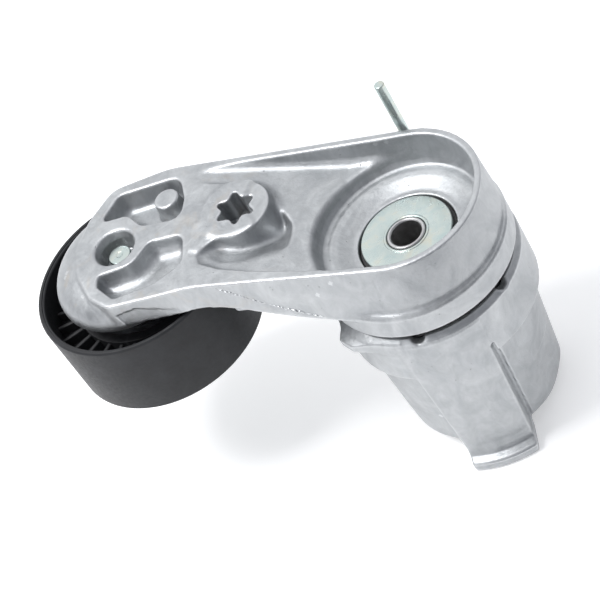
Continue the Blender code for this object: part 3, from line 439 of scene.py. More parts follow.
def end_disc():
    crown = 13.6
    outer = 26.0
    low = PULLEY_TOP - 0.2
    rim = low + 1.6
    profile = [(-10, ARM_TOP), (crown, ARM_TOP)]
    steps = 12
    for step in range(1, steps + 1):
        share = step / steps
        radius = crown + (outer - crown) * sin(share * pi / 2) ** 1.15
        profile.append((radius, ARM_TOP + (rim - ARM_TOP) * (1 - cos(share * pi / 2)) ** 0.9))
    profile += [(outer, low), (-10, low)]
    return turned(profile, at=(CENTRE, 0), edge=0.3)


def arm_boss():
    profile = [
        (-9, END_PLATE_BOTTOM + 1),
        (12.5, END_PLATE_BOTTOM + 1),
        (12.0, PULLEY_TOP - 2),
        (10.5, BEARING_TOP + 2.2),
        (-9, BEARING_TOP + 2.2),
    ]
    return turned(profile, at=(CENTRE, 0), edge=0.3)


def hub_flange():
    profile = [
        (-9, HUB_RING_TOP),
        (24, HUB_RING_TOP),
        (29.6, FLANGE_TOP + 0.8),
        (FLANGE_RADIUS - 0.9, FLANGE_TOP + 0.1),
        (FLANGE_RADIUS - 0.8, FLANGE_TOP - 0.5),
        (FLANGE_RADIUS - 0.1, FLANGE_TOP - 1.2),
        (FLANGE_RADIUS, FLANGE_BOTTOM),
        (-9, FLANGE_BOTTOM),
    ]
    return turned(profile, edge=0.12)


def hub_sleeve():
    top, low = FLANGE_BOTTOM + 2, FAR - 4
    return turned([(-9, top), (HUB_SLEEVE_RADIUS, top), (HUB_SLEEVE_RADIUS, low), (-9, low)])


def hollow():
    """The open top of the arm: inside the lip, above a floor that ramps up to the end plate."""
    top = ARM_TOP + 6
    ramp = [
        (-FAR, ARM_TOP - 8.2),
        (22, ARM_TOP - 7.9),
        (34, ARM_TOP - 6.2),
        (49, ARM_TOP - 3.9),
        (60, ARM_TOP - 2.2),
        (68, ARM_TOP - 1.2),
        (74.5, ARM_TOP + 0.1),
        (76.5, top),
        (-FAR, top),
    ]
    merge = [(-FAR, -FAR), (CENTRE, -FAR), (CENTRE, 7.5), (67.5, 8.4), (65.6, 12.4)]
    merge += [(57, 15.6), (46, 18.2), (30, 20.6), (20, 22.6), (-FAR, FAR)]
    bridge = [(53, -20.2), (77, -22.4), (77, 9), (67.6, 8.6), (64, 4.5), (56, -5)]

    def distance(x, y, z):
        inside = np.maximum(arm_wall(x, y, ARM_TOP) + LIP_WIDTH, flat_distance(merge, x, y))
        inside = np.maximum(inside + 0.13 * (ARM_TOP - z), -flat_distance(bridge, x, y))
        return both(flat_distance(ramp, x, z), inside, 2.8)

    return distance, (-40, -42, ARM_TOP - 13), (78, 40, ARM_TOP + PAD)


def dish():
    profile = [
        (-9, ARM_TOP + 4),
        (29.8, ARM_TOP + 4),
        (29.8, ARM_TOP - 7.0),
        (28.9, ARM_TOP - 10.2),
        (27.9, ARM_TOP - 11.8),
        (26.9, ARM_TOP - 12.3),
        (25.2, ARM_TOP - 12.0),
        (23.2, ARM_TOP - 12.4),
        (21.0, ARM_TOP - 13.3),
        (18.6, HUB_RING_TOP),
        (-9, HUB_RING_TOP),
    ]
    shape, low, high = turned(profile)

    def distance(x, y, z):
        return both(shape(x, y, z), arm_wall(x, y, ARM_TOP) + LIP_WIDTH + 0.1, 1.6)

    return distance, low, high


def plate_seat():
    seat = PLATE_RADIUS + 1.3
    profile = [(-9, ARM_TOP), (seat, ARM_TOP), (seat, PLATE_TOP - 4.6), (-9, PLATE_TOP - 4.6)]
    return turned(profile)


def hub_bore():
    return turned([(-9, ARM_TOP), (HUB_BORE, ARM_TOP), (HUB_BORE, 0), (-9, 0)])


def scoop():
    """The deep scoop beside the star socket, running out at a point."""
    outline = rounded(
        [
            (54.0, -9.0, 1),
            (48.0, -19.0, 2),
            (42.6, -11.5, 8),
            (37.4, -5.0, 7),
            (34.6, 5.6, 6),
            (40.0, 13.0, 6),
            (51.0, 13.6, 15),
            (58.0, 12.0, 10),
            (66.6, 7.1, 0.4),
        ]
    )
    floor = [
        (20, ARM_TOP - 13.0),
        (46, ARM_TOP - 13.0),
        (54, ARM_TOP - 8.0),
        (67, ARM_TOP - 0.1),
        (67, ARM_TOP + 5),
        (20, ARM_TOP + 5),
    ]

    def distance(x, y, z):
        wall = flat_distance(outline, x, y) + 0.3 * (ARM_TOP - 4 - z)
        near_slope = (0.45 * (y + 8) - (z - ARM_TOP + 12)) / 1.1
        return both(both(wall, flat_distance(floor, x, z), 2.6), near_slope, 4.0)

    return distance, (28, -24, ARM_TOP - 17), (71, 15, ARM_TOP + PAD)


def socket_boss():
    low = ARM_TOP - 13.4
    profile = [(-9, ARM_TOP), (11.7, ARM_TOP), (14.4, low), (-9, low)]
    return turned(profile, at=SOCKET, edge=0.45)


def fin():
    corners = [
        (47.9, -1.3, 1),
        (56, -12, 1),
        (70, -5, 1),
        (70, 6, 1),
        (66.0, 7.0, 0.5),
        (61.2, 2.3, 9),
        (56.5, 1.9, 12),
    ]
    return slab(rounded(corners), ARM_TOP - 13.4, ARM_TOP, edge=0.45, draft=0.12)


def star():
    points = []
    count = 96
    for i in range(count):
        angle = 2 * pi * i / count
        reach = STAR_ROOT + STAR_DEPTH * (0.5 + 0.5 * cos(STAR_POINTS * angle)) ** 1.4
        angle += radians(STAR_TURN)
        points.append((SOCKET[0] + reach * cos(angle), SOCKET[1] + reach * sin(angle)))
    return slab(points, ARM_TOP - 8.5, ARM_TOP + 4)


def kidney():
    x = CENTRE
    corners = [
        (x - 28.2, 11.2, 5.0),
        (x - 25.6, -2.6, 4.5),
        (x - 12.6, -0.7, 5.0),
        (x - 8.4, 8.0, 6.0),
        (x + 3.9, 11.2, 2.4),
        (x + 3.4, 16.4, 2.2),
        (x - 4.6, 22.8, 2.6),
        (x - 18.6, 18.6, 8.0),
    ]
    return slab(rounded(corners), ARM_TOP - 6.2, ARM_TOP + 4, draft=-0.16, floor=3.6)


def bean():
    x = CENTRE
    corners = [
        (x - 23.2, -8.3, 5.0),
        (x - 22.8, -18.0, 8.0),
        (x - 18.6, -28.8, 6.0),
        (x + 4.8, -24.2, 5.0),
        (x + 10.0, -11.0, 2.6),
        (x - 1.4, -12.8, 4.0),
        (x - 8.0, -7.0, 6.0),
    ]
    return slab(rounded(corners), ARM_TOP - 7.4, ARM_TOP + 4, draft=-0.2, floor=2.4)


def pocket_peg():
    top = ARM_TOP - 0.4
    profile = [(-9, top), (4.3, top), (5.2, top - 8), (-9, top - 8)]
    return turned(profile, at=(CENTRE - 14.6, -19.1), edge=0.5)


def bolt_hole():
    mouth = 6.5
    profile = [
        (-9, ARM_TOP + 4),
        (mouth + 3.0, ARM_TOP + 4),
        (mouth + 0.9, ARM_TOP),
        (mouth, ARM_TOP - 2.6),
        (mouth, BOLT_TOP - 4.4),
        (4.3, BOLT_TOP - 4.4),
        (4.3, FAR),
        (-9, FAR),
    ]
    return turned(profile, at=(CENTRE, 0))


def seam_recess():
    """The side wall stands back a little below the seam where the mould's halves met."""
    edge = CENTRE - 5
    outline = [
        (edge - 28, BEAM_BOTTOM),
        (edge - 1.3, BEAM_BOTTOM),
        (edge - 1.3, ARM_TOP - 9.2),
        (edge, ARM_TOP - 4.7),
        (edge - 7, ARM_TOP - 3.2),
        (edge - 20, ARM_TOP - 7.5),
    ]

    def distance(x, y, z):
        depth = 0.75 * np.clip((x - edge + 24) / 24, 0, 1)
        skin = -(arm_wall(x, y, z) + depth)
        return np.maximum(np.maximum(skin, flat_distance(outline, x, z)), 10 - y)

    low = (edge - 32, 10, BEAM_BOTTOM)
    return distance, low, (edge + 4, 36, ARM_TOP)


def pin_lug():
    x, y = PIN
    corners = [
        (x - 9.5, y + 5, 1),
        (x - 7.0, y - 0.6, 1.6),
        (x - 0.2, y - 0.6, 0.6),
        (x - 0.2, y + 5, 0.6),
    ]
    return slab(rounded(corners), FLANGE_BOTTOM + 1, ARM_TOP - 4.5, edge=0.6)


def pin_boss():
    boss = PIN_RADIUS + 2.0
    top, low = ARM_TOP - 11, FLANGE_BOTTOM + 1.2
    return turned([(-9, top), (boss, top), (boss, low), (-9, low)], at=PIN, edge=0.4)


def pin_hole():
    hole = PIN_RADIUS + 0.4
    return turned([(-9, PIN_TOP), (hole, PIN_TOP), (hole, 0), (-9, 0)], at=PIN)


def belly(side):
    """A pocket in the beam's underside."""
    start, end = FLANGE_RADIUS + 3, CENTRE - PULLEY_RADIUS - 9
    low, high = (-26.0, -2.5) if side < 0 else (1.5, 16.5)
    corners = [(start, low, 2), (end, low, 2), (end, high, 2), (start, high, 2)]
    return slab(rounded(corners), BEAM_BOTTOM - 5, ARM_TOP - 16.0, draft=0.1)


def build_arm():
    arm = Casting((-34.5, -41.5, FLANGE_BOTTOM - 3), (CENTRE + 28, 35, ARM_TOP + 2), 0.5)
    arm.add(arm_body())
    arm.cut(hollow(), 0.5)
    arm.cut(scoop(), 0.9)
    arm.add(socket_boss(), 2.8)
    arm.add(fin(), 1.5)
    arm.cut(underside(), 0.6)
    arm.cut(near_underside(), 0.6)
    arm.add(end_disc(), 0.9)
    arm.add(arm_boss(), 0.8)
    arm.add(hub_flange(), 0.9)
    arm.add(hub_sleeve(), 1.5)
    arm.cut(seam_recess(), 0.1)
    arm.cut(dish(), 1.4)
    arm.cut(plate_seat(), 0.35)
    arm.cut(hub_bore())
    arm.cut(star(), 0.3)
    arm.cut(kidney(), 0.7)
    arm.cut(bean(), 0.6)
    arm.cut(belly(-1), 0.5)
    arm.cut(belly(1), 0.5)
    arm.add(pocket_peg(), 0.9)
    arm.add(pin_lug(), 0.8)
    arm.add(pin_boss(), 0.8)
    arm.cut(pin_hole(), 0.3)
    arm.cut(bolt_hole(), 1.0)
    return arm


# ---- Spring case ----


def case_outside():
    profile = [
        (-9, RIM_TOP),
        (CASE_RADIUS - 1.7, RIM_TOP),
        (CASE_RADIUS, CASE_TOP - RIM_SLOPE),
        (CASE_RADIUS, BAND_BOTTOM + 1.0),
        (BARREL_TOP_RADIUS, BAND_BOTTOM),
        (BARREL_FOOT_RADIUS, 2.0),
        (BARREL_FOOT_RADIUS - 1.6, 0),
        (-9, 0),
    ]
    return turned(profile, edge=0.25)


def case_bore():
    profile = [
        (-9, CASE_TOP + 5),
        (CASE_RADIUS - CASE_WALL, CASE_TOP + 5),
        (CASE_RADIUS - CASE_WALL, BAND_BOTTOM + 4.0),
        (BARREL_TOP_RADIUS - CASE_WALL, BAND_BOTTOM),
        (BARREL_FOOT_RADIUS - CASE_WALL, CASE_FLOOR),
        (-9, CASE_FLOOR),
    ]
    return turned(profile)


def sector(start, end):
    """Everything between two directions from the pivot."""

    def distance(x, y, z):
        first = x * sin(radians(start)) - y * cos(radians(start))
        last = y * cos(radians(end)) - x * sin(radians(end))
        return np.maximum(first, last)

    return distance, (-FAR, -FAR, -FAR), (FAR, FAR, 2 * FAR)


def skirt():
    """The barrel's thicker sector on the near side."""
    profile = [
        (16, BAND_BOTTOM + 3),
        (BARREL_TOP_RADIUS + 0.9, BAND_BOTTOM + 3),
        (BARREL_TOP_RADIUS + 0.1, BAND_BOTTOM - 4),
        (BARREL_FOOT_RADIUS + 2.2, 14),
        (BARREL_FOOT_RADIUS + 1.4, 3.4),
        (BARREL_FOOT_RADIUS - 0.2, 1.2),
        (16, 1.2),
    ]
    return shared(turned(profile, edge=0.4), sector(18, 94), 1.0)


def tab_share(z):
    """How far up the tab a height is, from 0 at its foot to 1 near the rim."""
    return (z + 7) / (CASE_TOP + 3)


def tab():
    """The rib that ends in a foot turned outwards and keeps the case from turning."""
    face = CASE_RADIUS + 0.25
    inner = 19.6
    profile = [
        (inner, CASE_TOP - RIM_SLOPE - 1),
        (face, CASE_TOP - RIM_SLOPE - 1),
        (face, BAND_BOTTOM),
        (face - 1.3, 5.0),
        (face - 1.0, 2.6),
        (face - 0.1, 1.0),
        (TAB_REACH - 0.7, 0.3),
        (TAB_REACH, -0.4),
        (TAB_REACH - 0.25, CASE_FOOT),
        (inner + 6, CASE_FOOT),
        (inner + 5, 1.0),
        (inner, 2.0),
    ]
    ring, low, high = turned(profile, edge=0.25)
    ux, uy = around(TAB_DIRECTION, 1)

    def distance(x, y, z):
        across = np.abs(y * ux - x * uy)
        half = TAB_HALF_WIDTH + TAB_SPREAD * np.clip(tab_share(z), 0, 1)
        behind = 6 - (x * ux + y * uy)
        return both(ring(x, y, z), np.maximum(across - half, behind), 0.5)

    return distance, low, high


def tab_groove():
    """The narrow groove along the tab's far edge."""
    ux, uy = around(TAB_DIRECTION, 1)
    foot, top = BARREL_FOOT_RADIUS, BARREL_TOP_RADIUS

    def distance(x, y, z):
        across = y * ux - x * uy
        half = TAB_HALF_WIDTH + TAB_SPREAD * tab_share(z)
        skin = foot + (top - foot) * np.clip(z / BAND_BOTTOM, 0, 1) - np.hypot(x, y)
        end = np.maximum(z - 48, 0) + np.maximum(2 - z, 0)
        return np.sqrt((across - half - 0.2) ** 2 + end**2 + np.maximum(skin, 0) ** 2) - 0.7

    return distance, (-FAR, 0, 0), (FAR, FAR, 52)


def beak():
    wall = CASE_RADIUS - CASE_WALL / 2
    corners = [
        (*around(26, wall), 0.5),
        (*around(38, 32.9), 2.0),
        (*around(44.5, 36.6), 1.2),
        (*around(54, 36.2), 3.0),
        (*around(65, CASE_RADIUS + 0.9), 7),
        (*around(84, CASE_RADIUS - 0.3), 0.3),
        (*around(84, wall - 2), 0.3),
    ]
    top = CASE_TOP - 1.9
    shape, low, high = slab(rounded(corners), top - 4.6, top + 3, edge=0.5)

    def distance(x, y, z):
        slope = (z - top - 0.45 * (CASE_RADIUS - 0.2 - np.hypot(x, y))) * 0.9
        return both(shape(x, y, z), slope, 0.3)

    return distance, low, high


def pin_ear():
    """The ear that the locking pin leans on."""
    x, y = PIN
    direction = atan2(y, x) * 180 / pi
    tip = hypot(x, y) + PIN_RADIUS
    face = PIN_RADIUS + 0.3
    wall = CASE_RADIUS - CASE_WALL
    corners = [
        (*around(direction, wall, face), 0.5),
        (*around(direction, tip, face), 0.8),
        (*around(direction, tip, face + 4.2), 2.0),
        (*around(direction, wall, face + 10.9), 0.5),
    ]
    top = CASE_TOP - RIM_SLOPE
    return slab(rounded(corners), top - 8.5, top, edge=0.5)


def notch(direction):
    """A round cut down into the rim, seen from the side."""
    ux, uy = around(direction, 1)

    def distance(x, y, z):
        across = np.hypot(y * ux - x * uy, z - CASE_TOP - 0.3)
        return np.maximum(across - 2.7, 26 - (x * ux + y * uy))

    return distance, (-FAR, -FAR, CASE_TOP - 5), (FAR, FAR, CASE_TOP + 5)


def barrel_flat():
    """The lower facet on the barrel's far side."""
    ux, uy = around(174, 1)

    def distance(x, y, z):
        return BARREL_FOOT_RADIUS - 0.9 + 0.16 * np.maximum(z - 9, 0) - (x * ux + y * uy)

    return distance, (-FAR, -FAR, -PAD), (0, FAR, 22)


def foot_line(height):
    """A fine groove across the foot's outer face."""
    inner, outer = TAB_REACH - 0.3, TAB_REACH + 3
    ring = [(inner, height + 0.3), (outer, height + 0.9), (outer, height - 0.9)]
    ring.append((inner, height - 0.3))
    return shared(turned(ring), sector(80, 130))


def tube_bore():
    return turned([(-9, 9), (7.7, 9), (7.7, -9), (-9, -9)])


def build_case():
    case = Casting((-34.5, -41.5, CASE_FOOT - 1), (34.5, 38, CASE_TOP + 1), 0.5)
    case.add(case_outside())
    case.cut(barrel_flat(), 1.0)
    case.add(skirt(), 1.2)
    case.add(tab(), 0.7)
    case.add(beak(), 1.2)
    case.add(pin_ear(), 1.2)
    case.cut(case_bore(), 0.4)
    case.cut(tab_groove(), 0.3)
    case.cut(tube_bore(), 0.3)
    for direction in (95, 155):
        case.cut(notch(direction), 0.4)
    for height in (-1.3, -2.5):
        case.cut(foot_line(height), 0.1)
    return case


# ---- Turned pieces and the pulley ----


def lathe(name, profile, body, node, material, at=(0, 0), steps=128, edge=0.25, ring=True):
    """A profile of (radius, height) points in millimetres turned about Z, with its edges rounded. A
    ring's profile is a closed loop. Without ring it starts and ends on the axis."""
    mesh = bpy.data.meshes.new(name)
    count = len(profile)
    edges = [(i, i + 1) for i in range(count - 1)]
    if ring:
        edges.append((count - 1, 0))
    mesh.from_pydata([(r * MM, 0, z * MM) for r, z in profile], edges, [])
    piece = place(name, mesh, body, node, material, at)
    screw = piece.modifiers.new("turn", "SCREW")
    screw.steps = steps
    screw.render_steps = steps
    screw.use_merge_vertices = True
    screw.merge_threshold = 0.001 * MM
    screw.use_normal_calculate = True
    if edge:
        bevel = piece.modifiers.new("edges", "BEVEL")
        bevel.width = edge * MM
        bevel.segments = 3
        bevel.limit_method = "ANGLE"
        bevel.angle_limit = radians(28)
    return piece


def thrust_plate():
    bore = 6.75
    low = cad("thrust_plate")[0][2]
    profile = [
        (bore + 0.3, PLATE_TOP + 0.18),
        (bore + 0.8, PLATE_TOP + 0.18),
        (bore + 1.0, PLATE_TOP - 0.1),
        (bore + 1.3, PLATE_TOP),
        (PLATE_RADIUS - 0.2, PLATE_TOP),
        (PLATE_RADIUS, PLATE_TOP - 0.3),
        (PLATE_RADIUS, low),
        (bore, low),
        (bore, PLATE_TOP),
    ]
    lathe("thrust_washer", profile, "base", "thrust_plate", "zinc_plate", edge=0.1)


def pivot_tube():
    """The tube's end is turned down to a shoulder that the thrust plate sits on."""
    bore = 5.15
    neck = 6.5
    shoulder = PLATE_TOP - 2.1
    top = PLATE_TOP + 0.4
    profile = [
        (bore + 0.45, top),
        (neck - 0.35, top),
        (neck, top - 0.35),
        (neck, shoulder),
        (TUBE_RADIUS, shoulder),
        (TUBE_RADIUS, 0.4),
        (TUBE_RADIUS - 0.4, 0),
        (bore + 0.3, 0),
        (bore, 0.3),
        (bore, top - 0.45),
    ]
    lathe("pivot_sleeve", profile, "base", "pivot_tube", "bare_steel", edge=0.12)


def hub_sleeve_piece():
    """The lower part of the arm's hub, which turns inside the case."""
    outer, bore = HUB_SLEEVE_RADIUS, HUB_BORE
    top, low = FLANGE_BOTTOM, HUB_BOTTOM
    profile = [(outer, top), (outer, low), (bore, low), (bore, top)]
    lathe("arm_hub", profile, "arm", "tensioner_arm", "cast_aluminium", steps=96)


def locking_pin():
    profile = [
        (0, PIN_TOP),
        (PIN_RADIUS, PIN_TOP),
        (PIN_RADIUS, PIN_BOTTOM),
        (0, PIN_BOTTOM),
    ]
    lathe("locking_rod", profile, "locking_pin", "locking_pin", "zinc_plate", PIN, 48, 0.35, False)


def pulley_bolt():
    radius = 4.0
    head_top = BEARING_BOTTOM - 1.6
    profile = [
        (0, BOLT_TOP - 0.12),
        (1.1, BOLT_TOP - 0.12),
        (1.3, BOLT_TOP),
        (radius - 0.25, BOLT_TOP),
        (radius, BOLT_TOP - 0.35),
        (radius, head_top),
        (8.3, head_top),
        (7.9, head_top - 1.4),
        (0, head_top - 1.4),
    ]
    at = (CENTRE, 0)
    lathe("pulley_screw", profile, "arm", "pulley_bolt", "zinc_plate", at, 96, 0.15, False)
    low = cad("pulley_bolt")[0][2]
    across = 13.0
    bm = bmesh.new()
    bmesh.ops.create_cone(
        bm,
        cap_ends=True,
        segments=6,
        radius1=across / 2 / cos(pi / 6) * MM,
        radius2=across / 2 / cos(pi / 6) * MM,
        depth=(head_top - 0.7 - low) * MM,
    )
    mesh = bpy.data.meshes.new("pulley_screw_head")
    bm.to_mesh(mesh)
    bm.free()
    height = (head_top - 0.7 + low) / 2
    head = place("pulley_screw_head", mesh, "arm", "pulley_bolt", "zinc_plate", at, height)
    bevel = head.modifiers.new("edges", "BEVEL")
    bevel.width = 0.5 * MM
    bevel.segments = 3
    shade(head)


def dust_cap():
    top = BEARING_BOTTOM - 0.3
    rim = BEARING_RADIUS - 0.9
    profile = [
        (4.3, top),
        (11.0, top),
        (12.2, top - 1.2),
        (rim, top - 1.2),
        (rim, top - 2.2),
        (11.8, top - 2.2),
        (10.6, top - 1.0),
        (4.3, top - 1.0),
    ]
    lathe("bearing_cap", profile, "arm", "dust_cap", "zinc_plate", at=(CENTRE, 0), edge=0.2)


def pulley():
    middle = (PULLEY_TOP + PULLEY_BOTTOM) / 2
    inner = PULLEY_RADIUS - 2.4
    web = 2.5
    hub = BEARING_RADIUS + 3.9
    hub_half = (BEARING_TOP - BEARING_BOTTOM) / 2 + 1.2
    bore = BEARING_RADIUS + 0.3
    upper = [
        (bore, middle + hub_half),
        (hub, middle + hub_half),
        (hub, middle + web),
        (inner - 0.3, middle + web),
        (inner + 0.1, PULLEY_TOP - 0.9),
        (inner + 0.5, PULLEY_TOP - 0.45),
        (inner + 0.8, PULLEY_TOP - 0.45),
        (inner + 0.9, PULLEY_TOP),
        (PULLEY_RADIUS - 0.55, PULLEY_TOP),
        (PULLEY_RADIUS, PULLEY_TOP - 0.7),
    ]
    lower = [(r, 2 * middle - z) for r, z in reversed(upper)]
    at = (CENTRE, 0)
    profile = list(reversed(upper + lower))
    lathe("pulley_wheel", profile, "pulley", "pulley_shell", "black_plastic", at, 192, 0.16)
    reach = (PULLEY_TOP - PULLEY_BOTTOM) / 2 - RIB_DROP
    bm = bmesh.new()
    for i, side in product(range(RIB_COUNT), (-1, 1)):
        turn = Matrix.Rotation(2 * pi * i / RIB_COUNT, 4, "Z")
        centre = ((hub - 0.6 + inner) / 2 * MM, 0, side * reach / 2 * MM)
        size = Matrix.Diagonal(((inner - hub + 1.0) * MM, RIB_THICK * MM, reach * MM, 1))
        bmesh.ops.create_cube(bm, size=1, matrix=turn @ Matrix.Translation(centre) @ size)
    mesh = bpy.data.meshes.new("pulley_ribs")
    bm.to_mesh(mesh)
    bm.free()
    ribs = place("pulley_ribs", mesh, "pulley", "pulley_shell", "black_plastic", at, middle)
    bevel = ribs.modifiers.new("edges", "BEVEL")
    bevel.width = 0.3 * MM
    bevel.segments = 2
    shade(ribs)


def flash_line(arm):
    """The torn ridge along the near side wall where the mould's halves met."""
    route = [(57.5, ARM_TOP - 1.3), (46.6, 83.7), (37, 79.6), (24, 75.2)]
    points = []
    rng = np.random.default_rng(4)
    count = 90
    for i in range(count + 1):
        share = i / count * (len(route) - 1)
        leg = min(int(share), len(route) - 2)
        (ax, az), (bx, bz) = route[leg], route[leg + 1]
        x = ax + (bx - ax) * (share - leg)
        z = az + (bz - az) * (share - leg) + rng.normal(0, 0.16)
        points.append((x, arm.wall_y(x, z), z, 0.2 + 1.6 * rng.random() ** 2))
    curve = bpy.data.curves.new("flash_line", "CURVE")
    curve.dimensions = "3D"
    curve.bevel_depth = 0.24 * MM
    curve.bevel_resolution = 2
    curve.use_fill_caps = True
    spline = curve.splines.new("POLY")
    spline.points.add(len(points) - 1)
    for point, (x, y, z, thick) in zip(spline.points, points):
        point.co = (x * MM, y * MM, z * MM, 1)
        point.radius = thick
    place("flash_line", curve, "arm", "tensioner_arm", "cast_aluminium")


# ---- Materials ----


class Nodes:
    """Short ways to add shader nodes to a material."""

    def __init__(self, material):
        material.use_nodes = True
        self.tree = material.node_tree
        self.shader = self.tree.nodes["Principled BSDF"]
        self.where = self.tree.nodes.new("ShaderNodeTexCoord").outputs["Object"]

    def link(self, source, target):
        self.tree.links.new(source, target)

    def noise(self, size, detail=4.0, roughness=0.55, distortion=0.0, stretch=None):
        """Noise with features of about size millimetres."""
        node = self.tree.nodes.new("ShaderNodeTexNoise")
        node.inputs["Scale"].default_value = 1 / (size * MM)
        node.inputs["Detail"].default_value = detail
        node.inputs["Roughness"].default_value = roughness
        node.inputs["Distortion"].default_value = distortion
        self.link(self.stretched(stretch), node.inputs["Vector"])
        return node.outputs["Fac"]

    def stretched(self, stretch):
        if not stretch:
            return self.where
        mapping = self.tree.nodes.new("ShaderNodeMapping")
        mapping.inputs["Scale"].default_value = stretch
        self.link(self.where, mapping.inputs["Vector"])
        return mapping.outputs["Vector"]

    def specks(self, size):
        """Distance to the nearest of scattered points, in cells of about size millimetres."""
        node = self.tree.nodes.new("ShaderNodeTexVoronoi")
        node.inputs["Scale"].default_value = 1 / (size * MM)
        self.link(self.where, node.inputs["Vector"])
        return node.outputs["Distance"]

    def ramp(self, value, *stops):
        """Colours or greys at positions along a value."""
        node = self.tree.nodes.new("ShaderNodeValToRGB")
        elements = node.color_ramp.elements
        while len(elements) < len(stops):
            elements.new(0.5)
        for element, (position, colour) in zip(elements, stops):
            element.position = position
            grey = isinstance(colour, (int, float))
            element.color = (colour, colour, colour, 1) if grey else (*colour, 1)
        self.link(value, node.inputs["Fac"])
        return node.outputs["Color"]

    def mix(self, share, a, b, mode="MIX"):
        node = self.tree.nodes.new("ShaderNodeMix")
        node.data_type = "RGBA"
        node.blend_type = mode
        for value, name in ((share, "Factor_Float"), (a, "A_Color"), (b, "B_Color")):
            socket = next(i for i in node.inputs if i.identifier == name)
            if isinstance(value, (int, float)):
                socket.default_value = value
            elif isinstance(value, tuple):
                socket.default_value = (*value, 1)
            else:
                self.link(value, socket)
        return next(o for o in node.outputs if o.identifier == "Result_Color")

    def maths(self, operation, a, b):
        node = self.tree.nodes.new("ShaderNodeMath")
        node.operation = operation
        for value, socket in ((a, node.inputs[0]), (b, node.inputs[1])):
            if isinstance(value, (int, float)):
                socket.default_value = value
            else:
                self.link(value, socket)
        return node.outputs["Value"]

    def bump(self, height, distance, strength=1.0, after=None):
        node = self.tree.nodes.new("ShaderNodeBump")
        node.inputs["Strength"].default_value = strength
        node.inputs["Distance"].default_value = distance * MM
        self.link(height, node.inputs["Height"])
        if after:
            self.link(after, node.inputs["Normal"])
        return node.outputs["Normal"]

    def pointiness(self):
        return self.tree.nodes.new("ShaderNodeNewGeometry").outputs["Pointiness"]

    def along(self, axis, low, high):
        """0 to 1 between two places along an axis, in millimetres."""
        split = self.tree.nodes.new("ShaderNodeSeparateXYZ")
        self.link(self.where, split.inputs["Vector"])
        node = self.tree.nodes.new("ShaderNodeMapRange")
        node.inputs["From Min"].default_value = low * MM
        node.inputs["From Max"].default_value = high * MM
        self.link(split.outputs[axis], node.inputs["Value"])
        return node.outputs["Result"]

    def set(self, name, value):
        socket = self.shader.inputs[name]
        if isinstance(value, (int, float)):
            socket.default_value = value
        elif isinstance(value, tuple):
            socket.default_value = (*value, 1)
        else:
            self.link(value, socket)


def cast_aluminium(n):
    clouds = n.noise(14, 6, 0.6, 1.4)
    flow = n.noise(5, 5, 0.6, 2.2, stretch=(1, 1, 0.45))
    colour = n.ramp(clouds, (0.3, (0.42, 0.435, 0.45)), (0.7, (0.56, 0.575, 0.585)))
    colour = n.mix(0.45, colour, n.ramp(flow, (0.3, 0.6), (0.7, 1.0)), "MULTIPLY")
    stain = n.maths("MULTIPLY", n.ramp(n.noise(11, 4, 0.6, 0.8), (0.56, 0), (0.72, 1)), 0.35)
    stain = n.maths("MULTIPLY", stain, n.along("X", 35, 75))
    colour = n.mix(stain, colour, (0.52, 0.44, 0.35))
    # Painted shade: concave creases and hollows are darkened towards dark grey, standing in for the shade
    # that falls in them.
    painted_crease_shade = n.ramp(n.pointiness(), (0.44, 1), (0.495, 0))
    colour = n.mix(n.maths("MULTIPLY", painted_crease_shade, 0.5), colour, (0.22, 0.225, 0.24))
    # Convex edges: partly real edge wear, partly a painted highlight, made lighter in colour and
    # smoother.
    edge_wear_and_highlight = n.ramp(n.pointiness(), (0.505, 0), (0.54, 1))
    colour = n.mix(n.maths("MULTIPLY", edge_wear_and_highlight, 0.35), colour, (0.80, 0.81, 0.82))
    pits = n.ramp(n.specks(2.6), (0.05, 1), (0.11, 0))
    pits = n.maths("MULTIPLY", pits, n.ramp(n.noise(9, 2), (0.55, 0), (0.62, 1)))
    colour = n.mix(n.maths("MULTIPLY", pits, 0.5), colour, (0.2, 0.2, 0.21))
    n.set("Base Color", colour)
    n.set("Metallic", 0.85)
    rough = n.ramp(flow, (0.3, 0.36), (0.75, 0.54))
    n.set("Roughness", n.mix(edge_wear_and_highlight, rough, (0.36, 0.36, 0.36)))
    waves = n.bump(clouds, 0.35, 0.35)
    grain = n.bump(n.noise(0.9, 4, 0.65), 0.2, 0.5, waves)
    n.set("Normal", n.bump(n.maths("SUBTRACT", 1, pits), 0.15, 0.8, grain))


def zinc_plate(n):
    clouds = n.noise(7, 4, 0.6, 0.8)
    green, grey, yellow = (0.49, 0.58, 0.57), (0.57, 0.63, 0.60), (0.62, 0.63, 0.55)
    colour = n.ramp(clouds, (0.35, green), (0.55, grey), (0.7, yellow))
    n.set("Base Color", colour)
    n.set("Metallic", 1.0)
    n.set("Roughness", n.ramp(n.noise(2.2, 5), (0.3, 0.24), (0.7, 0.36)))
    n.set("Normal", n.bump(n.noise(0.5, 3), 0.04, 0.35))


def bare_steel(n):
    n.set("Base Color", n.ramp(n.noise(4, 5), (0.3, (0.46, 0.45, 0.45)), (0.7, (0.62, 0.62, 0.62))))
    n.set("Metallic", 1.0)
    n.set("Roughness", n.ramp(n.noise(1.5, 5), (0.3, 0.28), (0.7, 0.42)))
    n.set("Normal", n.bump(n.noise(0.4, 2, stretch=(1, 1, 6)), 0.05, 0.4))


def spring_steel(n):
    n.set("Base Color", n.ramp(n.noise(3, 5), (0.3, (0.05, 0.05, 0.055)), (0.7, (0.13, 0.12, 0.11))))
    n.set("Metallic", 0.7)
    n.set("Roughness", n.ramp(n.noise(1, 4), (0.3, 0.35), (0.7, 0.55)))
    n.set("Normal", n.bump(n.noise(0.5, 3), 0.05, 0.4))


